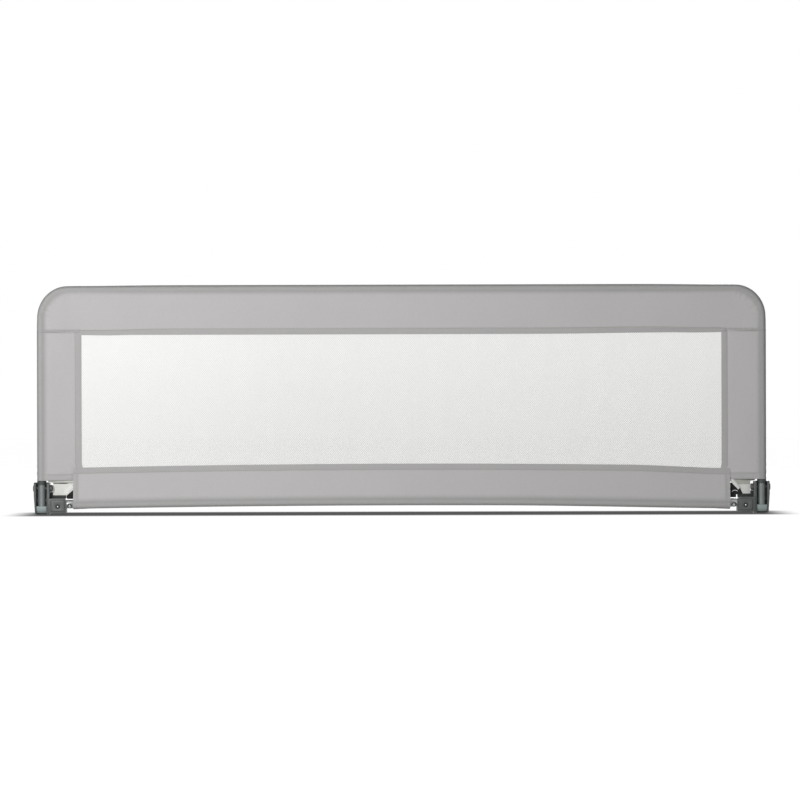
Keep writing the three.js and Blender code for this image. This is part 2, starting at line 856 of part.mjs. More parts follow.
// The flap leans with the back layer of the side pocket
function leaning(geometry) {
  const { hemStart, touch } = pocketFlank(fabricRadius - fabric, sideReach, hemHalf - fabric);
  const slope = Math.atan2(touch.y - hemHalf + fabric, hemStart - touch.x);
  const layer = (liningThickness + clearance) / Math.cos(slope);
  const back = hemHalf - fabric + Math.tan(slope) * hemStart - layer;
  return geometry.rotateZ(slope).translate(0, back, 0);
}

// Black hook tape that closes the lower band behind the bottom tube
function hookTape() {
  const end = -(tubeX - bandHalf + bandStep) + tapeProud;
  const back = tapeSetback + tapeThickness;
  return block(end - tapeLength, end, tapeSetback, back, tapeEdge, tapeEdge + tapeHeight);
}

function finish(color, roughness, metalness) {
  return new THREE.MeshStandardMaterial({ color, roughness, metalness });
}

const moulded = finish(0x6e7271, 0.5, 0);
const paleMoulded = finish(0x9eabaa, 0.5, 0);
const darkMoulded = finish(0x3c4040, 0.55, 0);
const paintedTube = finish(0x858a89, 0.4, 0.2);
const zincTube = finish(0xb4b6b3, 0.35, 0.9);
const steel = finish(0xc8cac8, 0.3, 1);
const cloth = finish(0xb6b5b3, 0.9, 0);
const net = finish(0xf4f5f5, 0.85, 0);
const lining = finish(0xd9d8d0, 0.9, 0);
const hookBlack = finish(0x1c1c1d, 0.95, 0);

function piece(group, name, geometry, material) {
  const mesh = new THREE.Mesh(geometry, material);
  mesh.name = name;
  group.add(mesh);
}

const guardRail = new THREE.Group();
const rail = new THREE.Group();
const base = new THREE.Group();
guardRail.add(base, rail);
guardRail.position.y = railY;

// Pieces that come once at each end: the group that holds them, their name, shape and material
const endPieces = [
  [base, 'bracket', bracket(), moulded],
  [base, 'hinge_pin', hingePin(), steel],
  [base, 'box_rivet', boxRivet(), steel],
  [base, 'tube_washer', washer(), darkMoulded],
  [base, 'tube_screw', endScrew(), steel],
  [base, 'leg_tube', legTube(), paintedTube],
  [base, 'leg_screw', legScrew(), steel],
  [base, 'leg_foot', legFoot(), darkMoulded],
  [base, 'outer_button', button(outerWall, outerButtonReach), moulded],
  [base, 'inner_button', innerButton(), moulded],
  [rail, 'frame_tube', frameTube(), paintedTube],
  [rail, 'tube_foot', tubeFoot(), paleMoulded],
  [rail, 'foot_rivet', footRivet(), steel],
  [rail, 'lock_spring', lockSpring(), steel],
  [rail, 'collar', collar(), darkMoulded],
  [rail, 'joint_screw', swageScrew(), steel],
  [rail, 'lining_flap', leaning(liningFlap()), lining],
  [rail, 'hook_tape', hookTape(), hookBlack],
];

for (const [parent, name, geometry, material] of endPieces) {
  for (const [side, shape] of [['right', welded(geometry)], ['left', mirrored(geometry)]]) {
    const end = new THREE.Group();
    end.position.x = side === 'right' ? tubeX : -tubeX;
    parent.add(end);
    piece(end, `${side}_${name}`, shape, material);
  }
}

piece(base, 'bottom_tube', bottomTube(), zincTube);
piece(rail, 'top_tube', topTube(), paintedTube);
piece(rail, 'cover_top', coverTop(), cloth);
piece(rail, 'cover_right', coverSide(), cloth);
piece(rail, 'cover_left', mirrored(coverSide()), cloth);
piece(rail, 'cover_bottom', coverBottom(), cloth);
piece(rail, 'mesh_window', welded(meshWindow()), net);

export default guardRail;
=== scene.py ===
import math

import bmesh
import bpy
import numpy as np
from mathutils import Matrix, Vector


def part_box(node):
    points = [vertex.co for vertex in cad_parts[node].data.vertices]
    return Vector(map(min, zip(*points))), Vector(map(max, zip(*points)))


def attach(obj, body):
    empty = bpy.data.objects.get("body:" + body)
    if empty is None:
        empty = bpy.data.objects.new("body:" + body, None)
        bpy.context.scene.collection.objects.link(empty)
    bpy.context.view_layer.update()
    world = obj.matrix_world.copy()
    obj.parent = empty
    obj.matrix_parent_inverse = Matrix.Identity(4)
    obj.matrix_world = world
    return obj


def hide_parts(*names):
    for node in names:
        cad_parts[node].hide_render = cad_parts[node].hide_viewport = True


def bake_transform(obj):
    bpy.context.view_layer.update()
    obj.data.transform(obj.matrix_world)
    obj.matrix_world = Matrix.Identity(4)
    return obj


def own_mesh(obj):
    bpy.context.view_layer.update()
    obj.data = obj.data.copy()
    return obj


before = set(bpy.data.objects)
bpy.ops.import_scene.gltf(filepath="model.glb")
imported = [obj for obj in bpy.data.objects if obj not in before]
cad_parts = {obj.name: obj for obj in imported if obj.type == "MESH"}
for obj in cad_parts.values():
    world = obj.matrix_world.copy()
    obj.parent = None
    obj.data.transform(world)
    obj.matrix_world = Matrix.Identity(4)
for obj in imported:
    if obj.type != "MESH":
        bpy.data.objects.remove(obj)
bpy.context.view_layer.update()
sides = {"left": -1, "right": 1}

# Moulded brackets, one at each end: filled nylon, shot in one piece with an open channel for the
# upright, a box for the bottom tube and a socket for the leg. Every outside edge has a small
# moulded radius, and the skin has the fine grain of the tool.
bracket_colour = (88, 92, 90)
bracket_roughness = 0.44
mould_radius = 0.001
lip_sides = (0.722, 0.743)
lip_front = -0.212
lip_radius = 0.0018
lip_corner = 0.0051
lip_foot = 0.03
same_point = 0.000002
same_line = 0.0001
flat_angle = math.radians(0.5)
sharp_edge = math.radians(38)
rib_share = 0.35
rib_line = -0.187
grain_per_metre = 2600.0
grain_depth = 0.00002
flow_per_metre = 38.0
flow_shade = 0.09
cloud_range = (0.3, 0.7)
scuffs_per_metre = 1400.0
scuffed = (0.5, 0.52, 0.51, 1.0)
black = (0.0, 0.0, 0.0, 1.0)


def linear(red, green, blue):
    """A colour as the eye reads it, from 0 to 255, as the light values that a shader takes."""
    shares = [value / 255 for value in (red, green, blue)]
    return (*[s / 12.92 if s <= 0.04045 else ((s + 0.055) / 1.055) ** 2.4 for s in shares], 1.0)


def fed(tree, socket, value):
    if isinstance(value, bpy.types.NodeSocket):
        tree.links.new(value, socket)
    else:
        socket.default_value = value


def added(tree, kind, inputs=(), **settings):
    """A node in the tree, with its settings, and each input given as a value or as a socket to link."""
    node = tree.nodes.new(kind)
    for name, value in settings.items():
        setattr(node, name, value)
    for name, value in dict(inputs).items():
        fed(tree, node.inputs[name], value)
    return node


def sums(tree, operation, first, second=0.0):
    return added(tree, "ShaderNodeMath", {0: first, 1: second}, operation=operation).outputs[0]


def times(tree, first, second):
    return sums(tree, "MULTIPLY", first, second)


def blended(tree, share, first, second):
    """Two colours mixed by a share: sockets or values."""
    node = added(tree, "ShaderNodeMix", data_type="RGBA")
    for name, value in (("Factor_Float", share), ("A_Color", first), ("B_Color", second)):
        fed(tree, next(s for s in node.inputs if s.identifier == name), value)
    return next(s for s in node.outputs if s.identifier == "Result_Color")


def eased(tree, value, low, high, to_low=0.0, to_high=1.0):
    """A value taken smoothly from one range to another, and held at its ends."""
    inputs = {"Value": value, "From Min": low, "From Max": high, "To Min": to_low, "To Max": to_high}
    return added(tree, "ShaderNodeMapRange", inputs, interpolation_type="SMOOTHSTEP").outputs["Result"]


def clouds(tree, place, scale, detail=2.0):
    inputs = {"Vector": place, "Scale": scale, "Detail": detail}
    return added(tree, "ShaderNodeTexNoise", inputs).outputs["Fac"]


def group(kind, name, inputs):
    """A node group: its tree and what it is given. Each input has its first value, or else its kind."""
    tree = bpy.data.node_groups.new(name, kind + "NodeTree")
    kinds = {tuple: "Color", float: "Float", int: "Int"}
    for label, value in inputs.items():
        socket_type = "NodeSocket" + kinds.get(type(value), str(value))
        socket = tree.interface.new_socket(label, in_out="INPUT", socket_type=socket_type)
        if type(value) in kinds:
            socket.default_value = value
    return tree, tree.nodes.new("NodeGroupInput").outputs


def put_out(tree, **outputs):
    """The group's tree, with its output sockets linked to what comes out of it."""
    kinds = {"RGBA": "Color", "VALUE": "Float", "GEOMETRY": "Geometry"}
    for label, value in outputs.items():
        tree.interface.new_socket(label, in_out="OUTPUT", socket_type="NodeSocket" + kinds[value.type])
    ends = tree.nodes.new("NodeGroupOutput").inputs
    for label, value in outputs.items():
        tree.links.new(value, ends[label])
    return tree


def cleared(data):
    data.use_nodes = True
    data.node_tree.nodes.clear()
    return data.node_tree


def finish(name, look, values, bump_distance, **constants):
    """A material whose colour, roughness and bump come from an effect, with constants on its shader."""
    material = bpy.data.materials.new(name)
    tree = cleared(material)
    shader = added(tree, "ShaderNodeBsdfPrincipled", constants)
    surface = added(tree, "ShaderNodeGroup", values, node_tree=look)
    for label, goal in (("Colour", "Base Color"), ("Roughness", "Roughness"), ("Alpha", "Alpha")):
        if label in surface.outputs:
            tree.links.new(surface.outputs[label], shader.inputs[goal])
    bump = added(tree, "ShaderNodeBump", {"Height": surface.outputs["Height"], "Distance": bump_distance})
    tree.links.new(bump.outputs["Normal"], shader.inputs["Normal"])
    added(tree, "ShaderNodeOutputMaterial", {"Surface": shader.outputs["BSDF"]})
    return material


tree, given = group("Shader", "moulded skin", {
    "Colour": (0.5, 0.5, 0.5, 1.0), "Grain per metre": 2000.0, "Roughness": 0.5, "Wear": 0.3})
place = added(tree, "ShaderNodeTexCoord").outputs["Object"]
grain = clouds(tree, place, given["Grain per metre"])
flow = clouds(tree, place, flow_per_metre, 3.0)
scuffs = clouds(tree, place, scuffs_per_metre, 3.0)
convex = added(tree, "ShaderNodeNewGeometry").outputs["Pointiness"]
rubbed = times(tree, eased(tree, convex, 0.53, 0.62), eased(tree, scuffs, 0.35, 0.65))
toned = blended(tree, eased(tree, flow, *cloud_range, 0.0, flow_shade), given["Colour"], black)
moulded_skin = put_out(
    tree,
    Colour=blended(tree, times(tree, rubbed, given["Wear"]), toned, scuffed),
    Roughness=sums(tree, "ADD", given["Roughness"], eased(tree, flow, *cloud_range, -0.05, 0.06)),
    Height=grain,
)


def moulded(name, colour, roughness, wear=0.08):
    values = {"Colour": linear(*colour), "Roughness": roughness, "Wear": wear}
    values["Grain per metre"] = grain_per_metre
    return finish(name, moulded_skin, values, grain_depth, **{"Specular IOR Level": 0.3})


def placed(name, data):
    thing = bpy.data.objects.new(name, data)
    bpy.context.scene.collection.objects.link(thing)
    return thing


def shown(name, mesh, material, body, slot, *nodes):
    """A finished piece: its mesh with one material, riding on a body in place of these nodes."""
    piece = placed(name, mesh)
    if not mesh.materials:
        mesh.materials.append(material)
    if body:
        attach(piece, body)
    if nodes:
        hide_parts(*nodes)
    return piece


def settled(piece):
    """The piece's mesh with its modifiers made part of it; the piece itself is taken away."""
    graph = bpy.context.evaluated_depsgraph_get()
    evaluated = piece.evaluated_get(graph)
    mesh = bpy.data.meshes.new_from_object(evaluated, preserve_all_data_layers=True, depsgraph=graph)
    bpy.data.objects.remove(piece)
    return mesh


def smoothed(mesh, degrees=35):
    mesh.shade_smooth()
    mesh.set_sharp_from_angle(angle=math.radians(degrees))
    return mesh


def from_points(name, points, edges, faces):
    mesh = bpy.data.meshes.new(name)
    mesh.from_pydata(points, edges, faces)
    return mesh


def radiused(node, radius, lips=(), thin_behind=None):
    """The node's shape with its corners shared, its flat faces whole and a radius on its sharp edges.
    The front edges of the lips at these places along the rail get a wider radius first."""
    shape = bmesh.new()
    shape.from_mesh(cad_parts[node].data)
    bmesh.ops.remove_doubles(shape, verts=shape.verts, dist=same_point)
    bmesh.ops.dissolve_limit(shape, angle_limit=flat_angle, verts=shape.verts, edges=shape.edges,
                             use_dissolve_boundaries=False)
    for x in lips:
        at_lip = [edge for edge in shape.edges if max(v.co.z for v in edge.verts) > lip_foot
                  and max(v.co.y for v in edge.verts) < lip_front + lip_corner
                  and all(abs(v.co.x - x) < same_line for v in edge.verts)]
        bmesh.ops.bevel(shape, geom=at_lip, offset=lip_radius, segments=3, profile=0.5, affect="EDGES")
    points = [vertex.co.copy() for vertex in shape.verts]
    shape.verts.index_update()
    faces = [[vertex.index for vertex in face.verts] for face in shape.faces]
    shape.free()
    return rounded(node, points, faces, radius, thin_behind)


def rounded(name, points, faces, radius, thin_behind=None):
    """A closed shape with a radius on its sharp edges. Behind the given y, among the thin ribs, only
    the longer outward edges get one, and a smaller one."""
    mesh = from_points(name, points, [], faces)
    shape = bmesh.new()
    shape.from_mesh(mesh)
    shape.normal_update()
    share = shape.edges.layers.float.new("bevel_weight_edge")
    for edge in shape.edges:
        edge[share] = 1.0 if edge.calc_face_angle(0.0) > sharp_edge else 0.0
        if thin_behind is not None and max(vertex.co.y for vertex in edge.verts) > thin_behind:
            outward = edge.is_convex and edge.calc_length() > 2 * radius
            edge[share] *= rib_share if outward else 0.0
    shape.to_mesh(mesh)
    shape.free()
    carrier = placed(name + ".bare", mesh)
    bevel = carrier.modifiers.new("moulded radius", "BEVEL")
    bevel.width = radius
    bevel.segments = 2
    bevel.limit_method = "WEIGHT"
    bevel.use_clamp_overlap = False
    bevel.miter_outer = "MITER_ARC"
    return smoothed(settled(carrier))


grey_moulding = moulded("grey_moulding", bracket_colour, bracket_roughness)
for side, sign in sides.items():
    mesh = radiused(f"{side}_bracket", mould_radius, [sign * x for x in lip_sides], rib_line)
    shown(f"{side}_bracket_moulding", mesh, grey_moulding, "base", "moulded_grey", f"{side}_bracket")

# Shadow plates: a dark plate clipped in the corner between each box and its channel, just
# behind the edge of the lining. Its dark colour is painted shadow: it fills the shadow gap under
# the lining's edge.
guard_front = -0.1944
guard_back = -0.1905
guard_radius = 0.0005
guard_outline = ((0.7168, 0.0330), (0.7168, 0.0464), (0.7092, 0.0464), (0.7080, 0.0440), (0.6870, 0.0440),
                 (0.6842, 0.0415), (0.6835, 0.0330))


def skin_faces(rings, count):
    """Faces of a closed skin over rings of points, with this count of points in each ring."""
    last = (rings - 1) * count
    faces = [tuple(range(count)), tuple(range(last + count - 1, last - 1, -1))]
    for j in range(0, last, count):
        for i in range(count):
            k = (i + 1) % count
            faces.append((j + i, j + count + i, j + count + k, j + k))
    return faces


shadow_plate_moulding = moulded("shadow_plate_moulding", (50, 52, 52), roughness=0.55, wear=0.03)
for side, sign in sides.items():
    outline = guard_outline if sign > 0 else guard_outline[::-1]
    points = [(sign * x, y, z) for y in (guard_front, guard_back) for x, z in outline]
    faces = [face[::-1] for face in skin_faces(2, len(outline))]
    mesh = rounded(f"{side}_guard", points, faces, guard_radius)
    shown(f"{side}_shadow_plate", mesh, shadow_plate_moulding, "base", "moulded_dark")

# Hinge pins, box rivets and leg screws: steel turned and headed, with a bright zinc finish. The
# pins go through the channel and the feet of the uprights, the rivets hold the bottom tube in its
# box, and the screws hold the legs in their sockets. The dark ring round each rivet's head is
# painted shade, for the shadow in the recess round the head.
steel_colour = (150, 153, 152)
fastener_sides = 32
dull_zinc = (0.16, 0.17, 0.17, 1.0)
wipes_per_metre = 160.0
drawing_per_metre = 1500.0

tree, given = group("Shader", "drawn metal", {
    "Colour": (0.7, 0.7, 0.7, 1.0), "Roughness": 0.3, "Mottle per metre": 300.0, "Mottle": 0.1})
place = added(tree, "ShaderNodeTexCoord").outputs["Object"]
scaled = {0: place, "Scale": given["Mottle per metre"]}
mottle_place = added(tree, "ShaderNodeVectorMath", scaled, operation="SCALE")
spangle = added(tree, "ShaderNodeTexVoronoi", {"Vector": mottle_place.outputs[0], "Scale": 1.0})
tone = added(tree, "ShaderNodeSeparateColor", {"Color": spangle.outputs["Color"]}).outputs["Red"]
wiped = eased(tree, clouds(tree, place, wipes_per_metre, 4.0), *cloud_range, -0.06, 0.1)
steel_skin = put_out(
    tree,
    Colour=blended(tree, times(tree, tone, given["Mottle"]), given["Colour"], dull_zinc),
    Roughness=sums(tree, "ADD", given["Roughness"], wiped),
    Height=clouds(tree, place, drawing_per_metre),
)


def metal(name, colour, roughness, mottle, mottle_per_metre=900.0, metallic=1.0, bump_distance=0.00001):
    values = {"Colour": linear(*colour), "Roughness": roughness, "Mottle": mottle}
    values["Mottle per metre"] = mottle_per_metre
    return finish(name, steel_skin, values, bump_distance, Metallic=metallic)


bright_steel = metal("bright_zinc_steel", steel_colour, roughness=0.28, mottle=0.12)


def turned(name, profile, start, direction, steps=fastener_sides, ring=False):
    """A turned piece: pairs of radius and height along a direction from a point on its axis."""
    axis = Vector(direction).normalized()
    across = axis.orthogonal().normalized()
    other = axis.cross(across)
    points = []
    rows = []
    for radius, height in profile:
        centre = Vector(start) + axis * height
        count = 1 if radius == 0 else steps
        rows.append(range(len(points), len(points) + count))
        for i in range(count):
            angle = 2 * math.pi * i / steps
            points.append(centre + (across * math.cos(angle) + other * math.sin(angle)) * radius)
    faces = []
    for low, high in zip(rows, rows[1:] + rows[:1] if ring else rows[1:]):
        for i in range(steps):
            k = (i + 1) % steps
            if len(low) == 1:
                faces.append((low[0], high[k], high[i]))
            elif len(high) == 1:
                faces.append((low[i], low[k], high[0]))
            else:
                faces.append((low[i], low[k], high[k], high[i]))
    mesh = from_points(name, points, [], faces)
    turn = bmesh.new()
    turn.from_mesh(mesh)
    bmesh.ops.recalc_face_normals(turn, faces=turn.faces)
    if turn.calc_volume(signed=True) < 0:
        bmesh.ops.reverse_faces(turn, faces=turn.faces)
    turn.to_mesh(mesh)
    turn.free()
    return smoothed(mesh, 40)


def headed(shank, length, head, thickness, dome=0.35, socket=0.0):
    """Profile of a headed pin from its tip to its crown, with a rounded head and maybe a drive hole."""
    profile = [(0, -length), (shank * 0.8, -length), (shank, shank * 0.25 - length), (shank, 0), (head, 0)]
    profile.append((head, thickness * (1 - dome)))
    for i in range(1, 5):
        angle = math.pi / 2 * i / 5
        inset = dome * (1 - math.cos(angle))
        profile.append((head * (1 - inset), thickness * (1 - dome * (1 - math.sin(angle)))))
    if socket:
        profile += [(socket, thickness), (socket * 0.9, thickness * 0.35), (0, thickness * 0.3)]
    else:
        profile += [(head * (1 - dome), thickness), (0, thickness)]
    return profile


pin_radius = 0.003
pin_head_radius = 0.005
pin_head = 0.0014
rivet_radius = 0.0015
rivet_head_radius = 0.0019
rivet_head = 0.0012
rivet_ring_bore = 0.0021
rivet_ring_radius = 0.0039
rivet_ring = 0.0005
screw_radius = 0.0022
screw_head_radius = 0.004
screw_head = 0.002
screw_socket = 0.00176
# Painted shade: the dark ring round each box rivet's head.
recess_shade_moulding = moulded("recess_shade_moulding", (44, 46, 46), roughness=0.55, wear=0.0)
for side, sign in sides.items():
    low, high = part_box(f"{side}_hinge_pin")
    centre = (low + high) / 2
    centre.x = (high.x if sign > 0 else low.x) - sign * pin_head
    profile = headed(pin_radius, high.x - low.x - pin_head, pin_head_radius, pin_head)
    shown(f"{side}_hinge_pin_turned", turned("hinge_pin", profile, centre, (sign, 0, 0)), bright_steel,
          "base", "bright_steel", f"{side}_hinge_pin")

    low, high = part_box(f"{side}_box_rivet")
    seat = Vector(((low.x + high.x) / 2, low.y + rivet_head, (low.z + high.z) / 2))
    profile = headed(rivet_radius, high.y - seat.y, rivet_head_radius, rivet_head, dome=0.6)
    shown(f"{side}_box_rivet_turned", turned("box_rivet", profile, seat, (0, -1, 0)), bright_steel,
          "base", "bright_steel", f"{side}_box_rivet")
    profile = [(rivet_ring_bore, 0), (rivet_ring_radius, 0), (rivet_ring_radius, rivet_ring * 0.5),
               (rivet_ring_radius * 0.9, rivet_ring), (rivet_ring_bore, rivet_ring * 0.8)]
    shown(f"{side}_rivet_ring", turned("rivet_ring", profile, seat, (0, -1, 0), ring=True), recess_shade_moulding,
          "base", "moulded_dark")

    low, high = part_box(f"{side}_leg_screw")
    seat = Vector(((low.x + high.x) / 2, (low.y + high.y) / 2, high.z - screw_head))
    profile = headed(screw_radius, seat.z - low.z, screw_head_radius, screw_head, dome=0.3,
                     socket=screw_socket)
    shown(f"{side}_leg_screw_turned", turned("leg_screw", profile, seat, (0, 0, 1)), bright_steel,
          "base", "bright_steel", f"{side}_leg_screw")

# Release buttons, two at each bracket, and the bent spring between them: the buttons are moulded
# in the brackets' grey with a dished face, and the spring is a blued steel strip inside the upright
# with two studs riveted to it. A pressed button pushes its stud in, out of the bracket's wall.
button_radius = 0.007
button_sides = 40
stem_radius = 0.003
stem_length = 0.001
button_round = 0.0016
dish_share = 0.62
dish_depth = 0.0005
dish_floor = 0.0007
button_lead = 0.0012
spring_half = 0.0058
spring_strip = 0.001
spring_turn = 16
stud_radius = 0.003
stud_round = 0.0008
stud_sides = 24
lid_moulding = moulded("button_moulding", (80, 82, 81), roughness=0.42, wear=0.03)
spring_steel = metal("blued_spring_steel", (74, 76, 78), roughness=0.5, mottle=0.15, metallic=0.3)
for side, sign in sides.items():
    low_spring, high_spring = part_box(f"{side}_lock_spring")
    middle = (low_spring + high_spring) / 2
    bend = high_spring.z - spring_half
    path = [(spring_half, low_spring.z)]
    for i in range(spring_turn + 1):
        angle = math.pi * i / spring_turn
        path.append((spring_half * math.cos(angle), bend + spring_half * math.sin(angle)))
    path.append((-spring_half, low_spring.z))
    inner = 1 - spring_strip / spring_half
    corners = ((low_spring.y, 1), (high_spring.y, 1), (high_spring.y, inner), (low_spring.y, inner))
    points = [(middle.x + x * share, y, z if z <= bend else bend + (z - bend) * share)
              for x, z in path for y, share in corners]
    strip = from_points("lock_strip", points, [], skin_faces(len(path), len(corners)))
    shown(f"{side}_lock_strip", smoothed(strip), spring_steel, "rail", "bright_steel", f"{side}_lock_spring")
    for kind, out in (("outer", sign), ("inner", -sign)):
        low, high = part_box(f"{side}_{kind}_button")
        length = high.x - low.x
        start = Vector((low.x if out > 0 else high.x, (low.y + high.y) / 2, (low.z + high.z) / 2))
        profile = [(0, 0), (stem_radius, 0), (stem_radius, stem_length),
                   (button_radius - button_lead, stem_length), (button_radius, stem_length + button_lead)]
        for i in range(6):
            angle = math.pi / 2 * i / 5
            profile.append((button_radius - button_round * (1 - math.cos(angle)),
                            length - button_round * (1 - math.sin(angle))))
        dish = button_radius * dish_share
        profile += [(dish, length), (dish * 0.86, length - dish_depth), (0, length - dish_floor)]
        shown(f"{side}_{kind}_button_moulding", turned("button", profile, start, (out, 0, 0), button_sides),
              lid_moulding, f"{side}_{kind}_release", "moulded_grey", f"{side}_{kind}_button")
        stud_length = (high_spring.x - low_spring.x) / 2 - spring_half + spring_strip
        root = Vector((middle.x + out * (spring_half - spring_strip), middle.y, start.z))
        profile = [(0, 0), (stud_radius, 0), (stud_radius, stud_length - stud_round),
                   (stud_radius - stud_round * 0.3, stud_length - stud_round * 0.3),
                   (stud_radius - stud_round, stud_length), (0, stud_length)]
        stud = shown(f"{side}_{kind}_stud", turned("stud", profile, root, (out, 0, 0), stud_sides),
                     spring_steel, "rail", "bright_steel", f"{side}_lock_spring")
        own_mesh(stud)

# Feet of the uprights: nylon knuckles that turn on the hinge pins between the channel walls,
# each with a spigot up into its tube and a rivet through both. Their pale grey is partly their own
# and partly painted light: a lighter copy of the fittings' grey for their lit front faces.
knuckle_radius = 0.0005


def dressed(node, material):
    """A solid that is shown as it is, in this material."""
    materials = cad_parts[node].data.materials
    materials.clear()
    materials.append(material)


pale_moulding = moulded("pale_moulding", (146, 158, 157), roughness=0.42, wear=0.06)
for side in sides:
    shown(f"{side}_knuckle", radiused(f"{side}_tube_foot", knuckle_radius), pale_moulding,
          "rail", "moulded_pale", f"{side}_tube_foot")
    dressed(f"{side}_foot_rivet", spring_steel)

# Uprights and top tube: steel tube of one size, painted grey. The uprights bend into the top and
# end in stubs that the swaged ends of the top tube plug into, with a screw below each joint.
paint_colour = (112, 118, 117)
bend_radius = 0.058
tube_steps = 40
bend_steps = 24
foot_low, foot_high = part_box("right_tube_foot")
rail_x = (foot_low.x + foot_high.x) / 2
rail_y = (foot_low.y + foot_high.y) / 2
top_low, top_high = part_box("top_tube")
tube_radius = (top_high.z - top_low.z) / 2
top_height = (top_high.z + top_low.z) / 2
frame_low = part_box("right_frame_tube")[0]


def made_real(tree, given, label, geometry):
    """The end of a tree of geometry nodes: its instances made real, in the material it is given."""
    whole = added(tree, "GeometryNodeRealizeInstances", {"Geometry": geometry}).outputs["Geometry"]
    finished = added(tree, "GeometryNodeSetMaterial", {"Geometry": whole, "Material": given["Finish"]})
    return put_out(tree, **{label: finished.outputs["Geometry"]})


tree, given = group("Geometry", "swept tube", {
    "Line": "Geometry", "Radius": 0.008, "Sides": 40, "Finish": "Material"})
line = added(tree, "GeometryNodeMeshToCurve", {"Mesh": given["Line"]}).outputs["Curve"]
ring = {"Resolution": given["Sides"], "Radius": given["Radius"]}
ring = added(tree, "GeometryNodeCurvePrimitiveCircle", ring).outputs["Curve"]
swept = added(tree, "GeometryNodeCurveToMesh", {"Curve": line, "Profile Curve": ring, "Fill Caps": True})
sweep_tree = made_real(tree, given, "Tube", swept.outputs["Mesh"])


def along_lines(name, lines, tree, values):
    """What a tree of geometry nodes makes along these lines, as a plain mesh."""
    points = [point for line in lines for point in line]
    edges = []
    first = 0
    for line in lines:
        edges += [(first + i, first + i + 1) for i in range(len(line) - 1)]
        first += len(line)
    carrier = placed(name + ".line", from_points(name, points, edges, []))
    made = carrier.modifiers.new("made along lines", "NODES")
    made.node_group = tree
    for item in tree.interface.items_tree:
        if item.item_type == "SOCKET" and item.in_out == "INPUT" and item.name in values:
            made[item.identifier] = values[item.name]
    return settled(carrier)


def tube(name, line, radius, material):
    values = {"Radius": radius, "Sides": tube_steps, "Finish": material}
    return smoothed(along_lines(name, [line], sweep_tree, values))


tube_paint = metal("tube_paint", paint_colour, roughness=0.46, mottle=0.05, mottle_per_metre=500.0,
                   metallic=0.2, bump_distance=0.00003)
for side, sign in sides.items():
    line = [(sign * rail_x, rail_y, frame_low.z)]
    for i in range(bend_steps + 1):
        angle = math.pi / 2 * i / bend_steps
        line.append((sign * (rail_x - bend_radius * (1 - math.cos(angle))), rail_y,
                     top_height - bend_radius * (1 - math.sin(angle))))
    line.append((sign * frame_low.x, rail_y, top_height))
    shown(f"{side}_upright", tube("upright", line, tube_radius, tube_paint), tube_paint,
          "rail", "painted_tube", f"{side}_frame_tube")
    dressed(f"{side}_joint_screw", bright_steel)
dressed("top_tube", tube_paint)

# Collars: dark nylon rings pushed up each upright to the edge of the cover, chamfered at the top.
collar_radius = 0.0095
collar_bore = 0.0083
collar_chamfer = 0.0008
collar_sides = 48
dark_moulding = moulded("dark_moulding", (62, 66, 66), roughness=0.5, wear=0.03)
for side, sign in sides.items():
    low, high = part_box(f"{side}_collar")
    height = high.z - low.z
    profile = [(collar_bore, 0), (collar_radius - collar_chamfer / 2, 0), (collar_radius, collar_chamfer / 2),
               (collar_radius, height - collar_chamfer), (collar_radius - collar_chamfer, height),
               (collar_bore, height)]
    mesh = turned("collar", profile, (sign * rail_x, rail_y, low.z), (0, 0, 1), collar_sides, True)
    shown(f"{side}_collar_ring", mesh, dark_moulding, "rail", "moulded_dark", f"{side}_collar")

# Bottom tube: galvanised steel, held in the boxes of the brackets and pulled up a little in the
# middle by the tight cover. Each bare end has a dark washer under a bright pan-head screw.
bottom_radius = 0.0085
bow_steps = 120
screw_turn = 0.41
washer_radius = 0.005
washer_gap = 0.0003
tab_room = 0.0009
washer_depth = 0.001
washer_bore = 0.0021
end_screw_radius = 0.0018
end_screw_head_radius = 0.0032
end_screw_head = 0.0018
end_screw_length = 0.005
bottom_low, bottom_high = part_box("bottom_tube")
band_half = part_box("cover_bottom")[1].x
bottom_height = bottom_low.z + bottom_radius
bow = bottom_high.z - bottom_radius - bottom_height


def bow_at(x):
    return bow * np.maximum(0, 1 - (np.asarray(x) / band_half) ** 2)


zinc = metal("galvanised_tube", (166, 168, 165), roughness=0.36, mottle=0.25, mottle_per_metre=180.0,
             metallic=0.85)
stations = np.linspace(bottom_low.x, bottom_high.x, bow_steps + 1)
line = [(x, rail_y, bottom_height + float(bow_at(x))) for x in stations]
mesh = tube("bottom_rail", line, bottom_radius, zinc)
shown("bottom_rail_tube", mesh, zinc, "base", "zinc_tube", "bottom_tube")
facing = Vector((0, -math.cos(screw_turn), -math.sin(screw_turn)))
for side, sign in sides.items():
    low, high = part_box(f"{side}_tube_screw")
    centre = Vector(((low.x + high.x) / 2, rail_y, bottom_height))
    seat = centre + facing * (bottom_radius + tab_room)
    profile = [(washer_bore, 0), (washer_radius, 0), (washer_radius, washer_depth * 0.8),
               (washer_radius * 0.95, washer_depth), (washer_bore, washer_depth)]
    shown(f"{side}_washer_ring", turned("washer", profile, seat, facing, ring=True), dark_moulding,
          "base", "moulded_dark", f"{side}_tube_washer")
    profile = headed(end_screw_radius, end_screw_length, end_screw_head_radius, end_screw_head,
                     dome=0.45, socket=end_screw_radius * 0.6)
    seat += facing * (washer_depth + washer_gap)
    shown(f"{side}_pan_screw", turned("pan_screw", profile, seat, facing), bright_steel,
          "base", "bright_steel", f"{side}_tube_screw")

